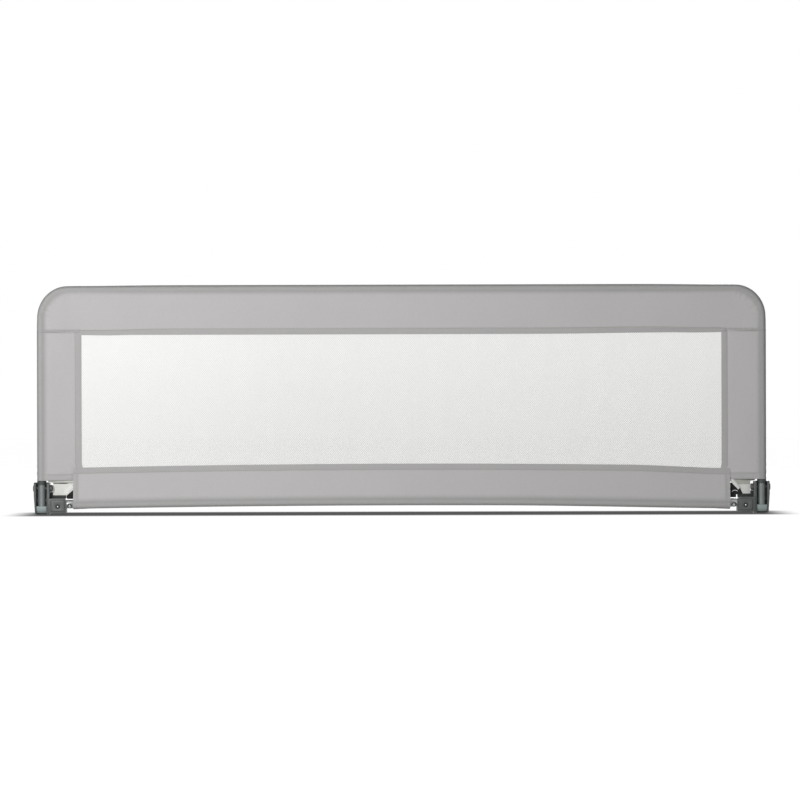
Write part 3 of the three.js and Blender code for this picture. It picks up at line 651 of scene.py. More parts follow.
# Legs: painted tubes that lie under the mattress, each in its bracket's socket, with a dark
# moulded cap on the far end that is flat where it stands.
leg_cap_radius = 0.0004
for side, sign in sides.items():
    low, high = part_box(f"{side}_leg_tube")
    radius = (high.x - low.x) / 2
    line = [(sign * rail_x, low.y, low.z + radius), (sign * rail_x, high.y, low.z + radius)]
    shown(f"{side}_leg", tube("leg", line, radius, tube_paint), tube_paint,
          "base", "painted_tube", f"{side}_leg_tube")
    shown(f"{side}_leg_cap", radiused(f"{side}_leg_foot", leg_cap_radius), dark_moulding,
          "base", "moulded_dark", f"{side}_leg_foot")

# Cover: grey polyester, cut in bands and sewn as a flat pocket that slips over the frame. The top
# band goes over the top tube and both bends, and laps over the side bands at a seam.
cloth_colour = (191, 189, 189)
# Painted shade: the cover cloth is mixed towards this darker colour where less light comes through it, over
# hems, laps and the tubes, and along shadow lines at edges and seams.
shaded_cloth_colour = (144, 144, 143)
cloth_thickness = 0.001
hem = 0.012
lap = 0.0004
hem_shares = np.array([0.0, 0.12, 0.36, 0.64, 0.84, 0.94])
near_hem = np.array([0.0, 0.0008, 0.0020, 0.0036])
hem_steps = len(hem_shares)
flank_steps = 20
wrap_steps = 12
cloth_step = 0.0042
slubs_per_metre = 260.0
drift_per_metre = 9.0
cover_low, cover_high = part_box("cover_top")
side_low, side_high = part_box("cover_right")
cover_radius = cover_high.z - top_height
hem_half = 0.0016
window_top = cover_low.z
window_side = side_low.x
side_gap = 0.0003
seam_height = side_high.z + side_gap
stitch_in = 0.0042
seam_line = seam_height + stitch_in
cover_edge = side_low.z

tree, given = group("Shader", "woven cloth", {
    "Colour": (0.5, 0.5, 0.5, 1.0), "Shaded colour": (0.4, 0.4, 0.4, 1.0), "Threads per metre": 1400.0,
    "Weave": 0.1, "Mottle": 0.05})
laid = added(tree, "ShaderNodeUVMap", uv_map="cloth").outputs["UV"]
axes = added(tree, "ShaderNodeSeparateXYZ", {"Vector": laid}).outputs
turn = times(tree, given["Threads per metre"], math.pi)
warp, weft = [sums(tree, "SINE", times(tree, axes[axis], turn)) for axis in "XY"]
over = {0: times(tree, warp, weft), 1: 0.5, 2: 0.5}
weave = added(tree, "ShaderNodeMath", over, operation="MULTIPLY_ADD").outputs[0]
place = added(tree, "ShaderNodeTexCoord").outputs["Object"]
slub = clouds(tree, place, slubs_per_metre, 4.0)
drift = clouds(tree, place, drift_per_metre, 2.0)
# Painted shade: each cloth piece's per-point shade mixes its colour towards its shaded colour.
layers = added(tree, "ShaderNodeAttribute", attribute_name="layers").outputs["Fac"]
plain = blended(tree, layers, given["Colour"], given["Shaded colour"])
dark = times(tree, sums(tree, "SUBTRACT", 1.0, weave), given["Weave"])
uneven = sums(tree, "ADD", eased(tree, slub, 0.25, 0.75), eased(tree, drift, 0.25, 0.75))
shade = sums(tree, "ADD", dark, times(tree, uneven, given["Mottle"]))
woven_cloth = put_out(
    tree,
    Colour=blended(tree, shade, plain, black),
    Roughness=eased(tree, slub, 0.2, 0.8, 0.78, 0.95),
    Height=sums(tree, "ADD", weave, times(tree, slub, 0.6)),
)


def cloth(name, colour, shaded, threads, weave, mottle, depth, **constants):
    values = {"Colour": linear(*colour), "Shaded colour": linear(*shaded), "Threads per metre": threads}
    values.update({"Weave": weave, "Mottle": mottle})
    return finish(name, woven_cloth, values, depth, **constants)


cover_cloth = cloth("cover_cloth", cloth_colour, shaded_cloth_colour, threads=1400.0, weave=0.08, mottle=0.02,
                    depth=0.00012, **{"Sheen Weight": 0.15, "Sheen Roughness": 0.5})


def step_up(value, low, high):
    """0 below low, 1 above high and smooth between them."""
    share = np.clip((value - low) / (high - low), 0, 1)
    return share * share * (3 - 2 * share)


def ridge(value, centre, width):
    return np.exp(-(((value - centre) / width) ** 2))


def puckers(run, height, turns, sway, sway_turns):
    """Uneven little waves along a run, with their turns to the metre."""
    return height * np.sin(run * turns + sway * np.sin(run * sway_turns))


def slack_waves(run, across, height, turns, start, across_turns, lean):
    """Broad waves of cloth that isn't pulled quite tight."""
    return height * np.sin(run * turns + start) * np.sin(across * across_turns + run * lean)


def half_section(reach, radius):
    """Half of the pocket's section, from the window edge out and round the tube to its far side:
    distance in from the tube's axis, depth from the middle plane, and the outward normal."""
    start = reach - hem
    tilt = math.atan2(hem_half, start) + math.acos(radius / math.hypot(start, hem_half))
    touch = radius * math.cos(tilt), radius * math.sin(tilt)
    near = near_hem / (start - touch[0])
    wide = near[-1] + (1 - near[-1]) * np.arange(1, flank_steps) / flank_steps
    flank = np.concatenate([near, wide])
    angles = np.linspace(tilt, math.pi, wrap_steps + 1)
    inward = np.concatenate([reach - hem * hem_shares, start + (touch[0] - start) * flank,
                             radius * np.cos(angles)])
    depth = np.concatenate([np.full(hem_steps, hem_half), hem_half + (touch[1] - hem_half) * flank,
                            radius * np.sin(angles)])
    normal_in = np.concatenate([np.zeros(hem_steps), np.full(len(flank), math.cos(tilt)), np.cos(angles)])
    normal_out = np.concatenate([np.ones(hem_steps), np.full(len(flank), math.sin(tilt)), np.sin(angles)])
    return inward, depth, normal_in, normal_out


def pocket_points(stations, radius, relief):
    """Points of the pocket's skin, front to back round the tube, one row for each station.
    A station is a point on the tube's axis, the direction from it to the window, and the reach."""
    rows = []
    tones = []
    for centre, direction, reach in stations:
        inward, depth, normal_in, normal_out = half_section(reach, radius)
        inward, normal_in = [np.concatenate([part, part[-2::-1]]) for part in (inward, normal_in)]
        depth, normal_out = [np.concatenate([-part, part[-2::-1]]) for part in (depth, normal_out)]
        points = centre + inward[:, None] * direction
        points[:, 1] += depth
        height, tone = relief(points, inward, reach)
        points = points + height[:, None] * normal_in[:, None] * direction
        points[:, 1] += height * normal_out
        rows.append(points)
        tones.append(tone)
    return np.array(rows), np.array(tones)


def grid_faces(count, width):
    return [(low, low + 1, low + width + 1, low + width)
            for i in range(count - 1) for low in range(i * width, i * width + width - 1)]


def outward(rows, turned_over):
    """Rows of points as one block, turned over where the outside of the cloth asks for it."""
    return np.array(rows)[::-1] if turned_over else np.array(rows)


def cloth_mesh(name, rows, tones, thickness, keep=None):
    """A sheet of cloth from rows of points on its outside, with its threads along the rows, and
    its thickness laid on inwards. The tones are painted shade: a tone of 1 is the shaded colour."""
    count, width = rows.shape[:2]
    points = rows.reshape(-1, 3)
    faces = [face for face in grid_faces(count, width)
             if keep is None or keep((points[face[0]] + points[face[2]]) / 2)]
    mesh = from_points(name, points.tolist(), [], faces)
    tones = np.broadcast_to(tones, (count, width)).ravel().astype(np.float32)
    mesh.attributes.new("layers", "FLOAT", "POINT").data.foreach_set("value", tones)
    across = np.zeros((count, width))
    across[:, 1:] = np.cumsum(np.linalg.norm(np.diff(rows, axis=1), axis=2), axis=1)
    middle = width // 2
    across = across - across[:, middle:middle + 1]
    along = np.zeros(count)
    along[1:] = np.cumsum(np.linalg.norm(np.diff(rows[:, middle], axis=0), axis=1))
    laid = np.stack([np.repeat(along[:, None], width, 1), across], axis=2).reshape(-1, 2)
    corner_points = np.zeros(len(mesh.loops), np.int32)
    mesh.loops.foreach_get("vertex_index", corner_points)
    laid = laid[corner_points].ravel().astype(np.float32)
    mesh.uv_layers.new(name="cloth").data.foreach_set("uv", laid)
    shape = bmesh.new()
    shape.from_mesh(mesh)
    loose = [vertex for vertex in shape.verts if not vertex.link_faces]
    bmesh.ops.delete(shape, geom=loose, context="VERTS")
    shape.to_mesh(mesh)
    shape.free()
    carrier = placed(name + ".skin", mesh)
    solid = carrier.modifiers.new("cloth thickness", "SOLIDIFY")
    solid.thickness = thickness
    solid.offset = -1
    return smoothed(settled(carrier), 60)


bend_x = rail_x - bend_radius
bend_z = top_height - bend_radius
corner_fan = 0.0385
bend_share = 0.55
catch_up = 0.25
groove_depth = 0.00045
groove_width = 0.0011
pucker_depth = 0.00016
hem_waves = (690, 1.7, 61)
hem_shade = 0.34
hem_edge_shade = 0.16
tube_shade = 0.46
leaving_shade = 0.22
rim_shade = 0.5
valley_depth = 0.0005
valley_width = 0.005
seam_groove = 0.0003
seam_pucker = 0.00022
seam_waves = (540, 1.3, 83)
lap_shade = 0.2
stitch_line_shade = 0.3
seam_edge_shade = 0.4
crease_depth = 0.0005
crease_waves = (26, 0.8, 9)
crease_place = (0.011, 0.006)
top_slack = (0.0006, 17, 0.6, 31, 6)


def top_stations():
    """Stations over the top band: from the right seam up, round the bend, and along to the middle."""
    outer = []
    for share in np.arange(0, 1, cloth_step / (bend_z - seam_height)):
        height = seam_height + (bend_z - seam_height) * share
        outer.append(((rail_x, height), (window_side, seam_height - (seam_height - window_top) * share)))
    turn_count = int(bend_radius * math.pi / 2 / (cloth_step * bend_share))
    for i in range(turn_count):
        angle = math.pi / 2 * i / turn_count
        point = (bend_x + bend_radius * math.cos(angle), bend_z + bend_radius * math.sin(angle))
        outer.append((point, (window_side - corner_fan * (i / turn_count) ** 3, window_top)))
    straight = int(bend_x / cloth_step)
    for i in range(straight + 1):
        x = bend_x * (1 - i / straight)
        lag = (bend_x - window_side + corner_fan) * (1 - step_up(i * cloth_step, 0, catch_up))
        outer.append(((x, top_height), (x - lag, window_top)))
    right = []
    for (x, z), (inner_x, inner_z) in outer:
        start = np.array([x, rail_y, z])
        to_window = np.array([inner_x - x, 0.0, inner_z - z])
        reach = float(np.linalg.norm(to_window))
        right.append((start, to_window / reach, reach))
    mirror = np.array([-1.0, 1.0, 1.0])
    left = [(start * mirror, direction * mirror, reach) for start, direction, reach in right[-2::-1]]
    return right + left


def hem_relief(inward, reach, along):
    """The stitched fold along a window edge: a groove where the thread pulls in, and small puckers
    between the stitches. Its tone is painted shade: the fold is darker where less light comes through
    its extra layers, with darker lines at the stitches and along the window edge."""
    line = reach - hem
    groove = -groove_depth * ridge(inward, line, groove_width)
    inside = hem_shade * (step_up(inward, line, line + 0.001) + ridge(inward, line, 0.0009))
    inside = inside + hem_edge_shade * step_up(inward, reach - 0.0016, reach)
    wobble = puckers(along, 1.0, *hem_waves) + 0.6 * np.sin(along * 413 + 2.1)
    return groove + pucker_depth * wobble * (inside + 0.8 * ridge(inward, line, 0.005)), inside


def tube_tone(inward, radius):
    """Where the cloth lies on the tube no light comes through it, so it looks darker, most of all
    where it leaves the tube and along the rim."""
    lying = tube_shade * (1 - step_up(inward, radius * 0.35, radius * 1.5))
    line = leaving_shade * ridge(inward, radius * 0.32, radius * 0.24)
    return lying + line + rim_shade * step_up(-inward, radius * 0.4, radius * 0.85)


def valley(inward):
    """The shallow valley where the cloth leaves the tube."""
    return -valley_depth * ridge(inward, cover_radius * 1.25, valley_width)


def top_relief(points, inward, reach):
    x, z = np.abs(points[:, 0]), points[:, 2]
    fold, inside = hem_relief(inward, reach, points[:, 0])
    beside = step_up(x, window_side - 0.002, window_side + 0.004)
    at_seam = puckers(x, seam_pucker, *seam_waves) * ridge(z, seam_line, 0.007)
    at_seam = at_seam - seam_groove * ridge(z, seam_line, 0.001)
    at_seam = at_seam + lap * (1 - step_up(z, seam_height, seam_line + 0.001))
    in_bend = step_up(x, bend_x - 0.012, bend_x + 0.004) * step_up(z, bend_z - 0.012, bend_z + 0.004)
    creases = puckers(np.arctan2(z - bend_z, x - bend_x), crease_depth, *crease_waves)
    creases = creases * ridge(inward, *crease_place) * in_bend
    slack = slack_waves(x, z, *top_slack) * ridge(inward, reach * 0.55, reach * 0.35)
    # Painted shade: darker over the tube and in the hem, and beside the window over the lap, with darker
    # lines at the stitches and along the lap's edge.
    tone = np.maximum(tube_tone(inward, cover_radius), inside * (1 - beside))
    below = lap_shade * (1 - step_up(z, seam_line - 0.001, seam_line + 0.002))
    below = below + stitch_line_shade * ridge(z, seam_line, 0.0018) + seam_edge_shade * ridge(z, seam_height, 0.0014)
    tone = np.maximum(tone, below * beside)
    return fold * (1 - beside) + at_seam * beside + creases + valley(inward) + slack, tone


hem_rise = 0.0028
rise_range = (0.25, 0.6)
wave = 0.001
wave_place = 0.6
wave_width = 0.035
top_line = []
for centre, direction, reach in top_stations():
    inner = centre + direction * reach
    in_hem = float(step_up(inner[2], seam_height, window_top))
    inner[2] += hem_rise * float(step_up(inner[0], *rise_range)) * in_hem
    reach = float(np.linalg.norm(inner - centre))
    direction = (inner - centre) / reach
    edge_x = abs(inner[0])
    drop = wave * float(ridge(edge_x, wave_place, wave_width)) if edge_x < window_side - 0.002 else 0.0
    top_line.append((centre, direction, reach + drop))
top_rows, top_tones = pocket_points(top_line, cover_radius, top_relief)
mesh = cloth_mesh("top_band", top_rows, top_tones, cloth_thickness)
top_cloth = shown("top_band_cloth", mesh, cover_cloth, "rail", "cover_fabric", "cover_top")

# Stitches of the top band: grey polyester lockstitch along the window's hem, front and back, and
# along the seam at each end where the top band laps over the side bands.
thread_colour = (158, 157, 155)
stitch_pitch = 0.0038
stitch_share = 0.43
stitch_least = 0.86
stitch_most = 1.08
thread_radius = 0.00028

tree, given = group("Geometry", "running stitch", {
    "Line": "Geometry", "Pitch": 0.004, "Thread radius": 0.0003, "Seed": 5, "Finish": "Material"})
line = added(tree, "GeometryNodeMeshToCurve", {"Mesh": given["Line"]}).outputs["Curve"]
every = {"Curve": line, "Length": given["Pitch"]}
places = added(tree, "GeometryNodeCurveToPoints", every, mode="LENGTH").outputs
along = added(tree, "FunctionNodeAlignRotationToVector", {"Vector": places["Tangent"]}, axis="Z")
bead = added(tree, "GeometryNodeMeshUVSphere", {"Segments": 6, "Rings": 4, "Radius": 1.0})
sizes = {"X": given["Thread radius"], "Y": given["Thread radius"],
         "Z": times(tree, given["Pitch"], stitch_share)}
shape = added(tree, "ShaderNodeCombineXYZ", sizes)
pull = {"Seed": given["Seed"], 2: stitch_least, 3: stitch_most}
pull = added(tree, "FunctionNodeRandomValue", pull, data_type="FLOAT")
scaled = {0: shape.outputs["Vector"], "Scale": pull.outputs[1]}
sized = added(tree, "ShaderNodeVectorMath", scaled, operation="SCALE")
laid_in = added(tree, "GeometryNodeInstanceOnPoints", {
    "Points": places["Points"], "Instance": bead.outputs["Mesh"], "Rotation": along.outputs["Rotation"],
    "Scale": sized.outputs[0]})
stitch_tree = made_real(tree, given, "Stitches", laid_in.outputs["Instances"])


def cut_across(rows, axis, value):
    """The line on the cloth where one coordinate has this value, from the rows on either side of it."""
    line = []
    for column in range(rows.shape[1]):
        run = rows[:, column]
        order = np.argsort(run[:, axis])
        if run[order[0], axis] <= value <= run[order[-1], axis]:
            line.append(tuple(float(np.interp(value, run[order, axis], run[order, k])) for k in range(3)))
    return line


def hem_lines(rows):
    return [rows[:, hem_steps], rows[:, -1 - hem_steps]]


def stitched(name, lines, material, slot, seed, body="rail"):
    lines = [[tuple(map(float, point)) for point in line] for line in lines if len(line) > 1]
    values = {"Pitch": stitch_pitch, "Thread radius": thread_radius, "Seed": seed, "Finish": material}
    return shown(name, smoothed(along_lines(name, lines, stitch_tree, values), 80), material, body, slot)


def yarn(name, colour, mottle):
    return metal(name, colour, roughness=0.7, mottle=mottle, mottle_per_metre=2600.0, metallic=0.0,
                 bump_distance=0.00005)


thread = yarn("polyester_thread", thread_colour, mottle=0.25)
end_rows = len(top_rows) // 4
lines = hem_lines(top_rows)
lines += [cut_across(rows, 2, seam_line) for rows in (top_rows[:end_rows], top_rows[-end_rows:])]
stitched("top_band_stitches", lines, thread, "cover_fabric", 3)

# Side bands: the same cloth, each a pocket round its upright, hemmed along the window and along
# the lower edge above the bracket, and sewn to the top band and to the end of the lower band.
edge_hem = 0.0125
corner_slant = 0.0022
lapped = 0.0015
tuck_in = 0.0010
sill_room = 0.0018
sill_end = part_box("cover_bottom")[1].z - bow - sill_room
sill_drop = 0.0042
drop_range = (0.46, 0.655)
above_clear = 0.004
beside_clear = 0.002
band_seam_pucker = 0.0002
edge_waves = (0.0002, 610, 1.9, 71)
edge_groove = 0.00035
fold_depth = 0.0005
fold_end = (0.078, 0.13)
side_slack = (0.0006, 27, 0.9, 41, 5)
side_hem_shade = 0.24
lower_edge_shade = 0.25
side_seam_shade = 0.5


def drop_at(x):
    """How far the sill of the window hangs lower towards the right end."""
    return sill_drop * float(step_up(x, *drop_range))


def side_relief(points, inward, reach):
    x, z = np.abs(points[:, 0]), points[:, 2]
    fold, inside = hem_relief(inward, reach, z)
    above = step_up(z, sill - 0.002, sill + 0.004)
    line = cover_edge + edge_hem
    at_seam = puckers(x, band_seam_pucker, *seam_waves) * ridge(z, seam_height, 0.006)
    at_edge = puckers(x, *edge_waves) * ridge(z, line, 0.006) - edge_groove * ridge(z, line, 0.001)
    folds = fold_depth * np.sin(z * 410 + x * 23 + 1.2 * np.sin(x * 55)) * (1 - step_up(z, *fold_end))
    folds = folds * (1 - ridge(inward, 0.0, 0.009)) + valley(inward)
    slack = slack_waves(z, x, *side_slack) * ridge(inward, reach * 0.5, reach * 0.3)
    # Painted shade: darker over the tube, in the window hem and in the lower hem, with darker lines at its
    # stitches, along the lower edge and at the seam.
    lower = side_hem_shade * (1 - step_up(z, line - 0.0015, line))
    lower = lower + stitch_line_shade * ridge(z, line, 0.0016) + lower_edge_shade * ridge(z, cover_edge, 0.002)
    tone = np.maximum(tube_tone(inward, cover_radius), inside * above)
    tone = np.maximum(np.maximum(tone, lower), side_seam_shade * ridge(z, seam_height, 0.0016))
    tucked = tuck_in * (1 - step_up(z, sill + 0.0005, sill + 0.004))
    tucked = tucked * (1 - step_up(x, band_half + 0.0005, band_half + 0.006))
    return fold * above + at_seam + at_edge + folds + slack - tucked, tone


def beside_band(point):
    return point[2] > sill - lapped or abs(point[0]) > band_half + side_gap


side_rows_count = int((seam_height - cover_edge) / (cloth_step * 0.7))
side_rows = {}
for side, sign in sides.items():
    sill = sill_end - drop_at(sign * window_side)
    side_line = []
    for i in range(side_rows_count + 1):
        z = cover_edge + (seam_height - side_gap - cover_edge) * i / side_rows_count
        reach = rail_x - window_side + corner_slant * (1 - float(step_up(z, sill, sill + 0.009)))
        side_line.append((np.array([rail_x, rail_y, z]), np.array([-1.0, 0.0, 0.0]), reach))
    rows, tones = pocket_points(side_line, cover_radius, side_relief)
    rows = side_rows[side] = rows * np.array([float(sign), 1.0, 1.0])
    rows, tones = outward(rows, sign < 0), outward(tones, sign < 0)
    mesh = cloth_mesh(f"{side}_band", rows, tones, cloth_thickness, beside_band)
    band = shown(f"{side}_band_cloth", mesh, cover_cloth, "rail", "cover_fabric", f"cover_{side}")

# Stitches of the side bands: down the window's hem, front and back, and round the lower hem above
# the bracket, in the same thread as on the top band.
for side, sign in sides.items():
    rows = side_rows[side]
    above_sill = rows[:, 0, 2] > sill_end - drop_at(sign * window_side) + above_clear
    beside = rows[:, np.abs(rows[0, :, 0]) > band_half + beside_clear]
    lines = hem_lines(rows[above_sill]) + [cut_across(beside, 2, cover_edge + edge_hem)]
    stitched(f"{side}_band_stitches", lines, thread, "cover_fabric", 5)

# Lower band: a pocket of the same cloth round the fixed bottom tube, stepped in at its ends below
# the cut-outs.
band_radius = 0.0098
band_step = 0.002
end_hem = 0.0125
end_stitch_in = 0.0055
end_line = band_half - end_hem + end_stitch_in
band_rise = 0.0012
band_slack = 0.0026
end_waves = (0.0002, 640, 1.4, 87)
end_groove = 0.0003
end_lap = 0.0002
cut_out_lap = 0.0005
tug_waves = (0.0004, 97, 1.1, 31)
middle_slack = (0.0007, 13, 2.2, 29, 4)
slack_range = (0.2, 0.62)
end_hem_shade = 0.2
end_stitch_shade = 0.22


def band_relief(points, inward, reach):
    x, z = points[:, 0], points[:, 2]
    from_middle = np.abs(x)
    fold, inside = hem_relief(inward, reach, x)
    ends = step_up(from_middle, band_half - end_hem, band_half - end_hem + 0.002)
    at_end = puckers(z, *end_waves) * ridge(from_middle, end_line, 0.007)
    at_end = at_end - end_groove * ridge(from_middle, end_line, 0.001) + end_lap * ends
    at_end = at_end + cut_out_lap * step_up(from_middle, window_side - 0.014, window_side - 0.004)
    slack = slack_waves(x, z, *middle_slack) * ridge(inward, reach * 0.5, reach * 0.3)
    tug = puckers(x, *tug_waves) * ridge(inward, band_radius * 1.1, 0.006)
    # Painted shade: darker over the tube, in the window hem and in the end hems, with a darker line at the
    # end stitches.
    tone = np.maximum(tube_tone(inward, band_radius), inside)
    tone = np.maximum(tone, end_hem_shade * ends + end_stitch_shade * ridge(from_middle, end_line, 0.0022))
    return fold + at_end + slack + tug, tone


def within_band(point):
    return point[2] > cover_edge or abs(point[0]) < band_half - band_step


def tied(piece):
    """The piece's transform is baked into its mesh."""
    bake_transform(piece)


band_line = []
for x in np.linspace(-band_half, band_half, int(2 * band_half / cloth_step) + 1):
    extra = band_rise * max(0.0, 1 - (x / window_side) ** 2) - drop_at(x)
    slack = band_slack * float(step_up(x, *slack_range))
    start = np.array([x, rail_y, bottom_height + float(bow_at(x)) - slack])
    band_line.append((start, np.array([0.0, 0.0, 1.0]), sill_end - bottom_height + extra + slack))
band_rows, band_tones = pocket_points(band_line, band_radius, band_relief)
mesh = cloth_mesh("lower_band", band_rows, band_tones, cloth_thickness, within_band)
band_cloth = shown("lower_band_cloth", mesh, cover_cloth, None, "cover_fabric", "cover_bottom")
tied(band_cloth)

# End tabs: a rounded tongue of the lower band at each end, wrapped on the tube and held by the
# washer and screw.
tab_half = 0.0061
tab_end = 0.0063
tab_root = 0.6665
tab_skin = 0.0092
tab_taper = 0.25
tab_thickness = 0.0005
# Painted shade: the tab is mixed most of the way to the shaded cloth colour, as no light comes through cloth
# lying on the tube.
tab_shade = 0.9
tab_rows = 22
tab_columns = 17


def row_of(x, y, z):
    return np.stack(np.broadcast_arrays(x, y, z), axis=1)


for side, sign in sides.items():
    low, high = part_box(f"{side}_tube_screw")
    middle = (abs(low.x) + abs(high.x)) / 2
    rows = []
    for x in np.linspace(tab_root, middle + tab_end - 0.0001, tab_rows):
        past = max(0.0, (x - middle) / tab_end)
        half = tab_half * math.sqrt(1 - past * past) if past else tab_half + tab_taper * (middle - x)
        angles = -screw_turn + np.linspace(-half, half, tab_columns) / tab_skin
        y = rail_y - tab_skin * np.cos(angles)
        rows.append(row_of(sign * x, y, bottom_height + tab_skin * np.sin(angles)))
    mesh = cloth_mesh(f"{side}_tab", outward(rows, sign > 0), tab_shade, tab_thickness)
    tab = shown(f"{side}_end_tab", mesh, cover_cloth, "base", "cover_fabric")

# Stitches of the lower band: along the sill of the window and down the hem at each end.
lines = hem_lines(band_rows)
lines += [cut_across(band_rows[-8:], 0, end_line), cut_across(band_rows[:8], 0, -end_line)]
tied(stitched("lower_band_stitches", lines, thread, "cover_fabric", 7, None))

# Lining flaps: in each lower corner the back layer ends in a flap of cream polyester, hemmed along
# its top and bound with white tape along its cut corner. It hangs behind the cut-out.
lining_colour = (236, 236, 233)
shaded_lining = (184, 185, 175)
flap_thickness = 0.0008
flap_step = 0.0012
flap_columns = 40
# Painted shade: the flap is mixed a little towards the shaded lining colour, and the strip at its top, under
# the cover's edge, further, most of all on the right.
flap_shade = 0.22
flap_wave = 0.0007
flap_still = 0.01
hem_proud = 0.0011
edge_proud = 0.0003
narrow_hem = (0.005, 0.0058)
binding_width = 0.0085
binding_proud = 0.0009
binding_thickness = 0.0005
binding_gap = 0.0002
binding_wave = 0.0001
binding_rows = 24
binding_columns = 13
# The edging is painted shadow: a dark strip in the shadow gap under the left flap's top strip.
edging_start = 0.6775
edging_middle = 0.0645
edging_proud = 0.0007
edging_low = 0.0021
edging_lap = 0.0004
edging_slant = 4.0
edging_thickness = 0.0005
flap_low, flap_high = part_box("right_lining_flap")
flap_front = flap_low.y + flap_thickness
flap_turn = 0.0045
flap_slope = flap_turn / (flap_high.x - flap_low.x)
strip_end = 0.7195
channel_top = 0.0668
cut_edge = {"left": ((0.0398, 0.6815), (0.0510, 0.6683)),
            "right": ((0.0398, 0.6945), (0.0535, 0.6880), (0.0660, 0.6683))}
binding_line = {"left": ((0.6700, 0.0585), (0.6862, 0.0442)), "right": ((0.6702, 0.0700), (0.6870, 0.0502))}
binding_taper = {"left": 0.0, "right": 0.4}
top_strip = {"left": 0.0044, "right": 0.0112}
strip_shade = {"left": 0.3, "right": 0.95}
strip_forward = {"left": 0.0065, "right": 0.0}
lift = np.array([0.0, -0.00012, 0.0])


def flap_face(x):
    return flap_front + flap_slope * np.minimum(np.abs(x) - flap_low.x, flap_high.x - flap_low.x)


cream_lining = cloth("cream_lining", lining_colour, shaded_lining, threads=1700.0, weave=0.05, mottle=0.03,
                     depth=0.00008)
shadow_edging = cloth("shadow_edging", (72, 73, 62), (60, 60, 54), threads=1500.0, weave=0.1, mottle=0.1,
                    depth=0.0001)
white_thread = yarn("white_thread", (226, 226, 224), mottle=0.2)
for side, sign in sides.items():
    corner_z, corner_x = zip(*cut_edge[side])
    strip_edge = cover_edge - top_strip[side]
    rows = []
    tones = []
    for z in np.linspace(flap_low.z, flap_high.z, int((flap_high.z - flap_low.z) / flap_step) + 1):
        outer = strip_end if z > channel_top else flap_high.x
        x = np.linspace(np.interp(z, corner_z, corner_x), outer, flap_columns)
        inset = flap_high.x - x
        in_strip = float(step_up(z, strip_edge, strip_edge + 0.0006))
        in_cover = float(step_up(z, cover_edge - 0.0016, cover_edge + 0.0008))
        fold = flap_wave * np.sin(x * 190 + z * 45) * step_up(inset, 0, flap_still) * (1 - in_strip)
        edge = hem_proud * in_strip + edge_proud * float(1 - step_up(z - flap_low.z, *narrow_hem))
        edge = np.maximum(edge, edge_proud * (1 - step_up(inset, *narrow_hem)))
        y = flap_face(x) + fold - (edge + strip_forward[side] * in_strip) * (1 - in_cover)
        rows.append(row_of(sign * x, y, z))
        tones.append(np.full(flap_columns, flap_shade + (strip_shade[side] - flap_shade) * in_strip))
    mesh = cloth_mesh(f"{side}_flap", outward(rows, sign < 0), outward(tones, sign < 0), flap_thickness)
    flap = shown(f"{side}_flap_cloth", mesh, cream_lining, "rail", "lining", f"{side}_lining_flap")
    (start_x, start_z), (end_x, end_z) = binding_line[side]
    run = np.array([end_x - start_x, 0.0, end_z - start_z])
    wide = np.array([-run[2], 0.0, run[0]]) * binding_width / np.linalg.norm(run)
    offsets = np.linspace(-0.5, 0.5, binding_columns)
    rows = []
    for share in np.linspace(0, 1, binding_rows):
        points = np.array([start_x, 0.0, start_z]) + run * share
        points = points + wide * (1 - binding_taper[side] * share) * offsets[:, None]
        curl = binding_proud * (1 - np.abs(2 * offsets) ** 6)
        curl = curl + binding_gap + binding_wave * np.sin(share * 40 + offsets * 3)
        points[:, 1] = flap_face(points[:, 0]) - curl
        points[:, 0] *= sign
        rows.append(points)
    rows = outward(rows, sign < 0)
    mesh = cloth_mesh(f"{side}_binding", rows, 0.0, binding_thickness)
    binding = shown(f"{side}_binding_tape", mesh, cream_lining, "rail", "lining")
    thread_lines = [rows[:, 2] + lift, rows[:, -3] + lift]
    sewn = stitched(f"{side}_binding_stitches", thread_lines, white_thread, "lining", 9)
    # Painted shadow: on the left, a dark strip under the top strip of the flap stands in for the shadow gap
    # between the strip and the flap.
    if side == "left":
        rows = []
        for z in np.linspace(strip_edge - edging_low, strip_edge + edging_lap, 6):
            start = edging_start + edging_slant * abs(z - edging_middle)
            x = np.linspace(start, flap_high.x - edging_lap, 30)
            rows.append(row_of(-x, flap_face(x) - edging_proud, z))
        mesh = cloth_mesh("left_edging", outward(rows, True), 0.0, edging_thickness)
        shown("left_flap_shadow_edging", mesh, shadow_edging, "rail", "lining")

# Hook tapes: the ends of the black closing tape that joins the two layers of the lower band, a
# woven strip covered with short stiff hooks. The right end stands out further, with a turned edge.
tape_colour = (34, 34, 34)
tape_thickness = 0.0010
tape_gap = 0.0004
tape_step = 0.0008
tape_wave = 0.0002
tape_columns = 56
hook_start = 0.662
hook_pitch = 0.0015
hook_length = 0.0011
hook_radius = 0.00017
hook_tip = 0.00012
hook_lean = 0.35
hook_sink = 0.35
turned_radius = 0.0007
turned_forward = 0.0016
tape_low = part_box("right_hook_tape")[0]
turned_edge = ((0.6720, 0.0432), (0.6745, 0.0458), (0.6780, 0.0468), (0.6810, 0.0464), (0.6835, 0.0448))
tape_edge = {"left": ((0.0323, 0.6811), (0.0342, 0.6814), (0.0350, 0.6828), (0.0523, 0.6828)),
             "right": ((0.0323, 0.6805), (0.0385, 0.6810), (0.0392, 0.6935), (0.0520, 0.6915),
                       (0.0620, 0.6760))}

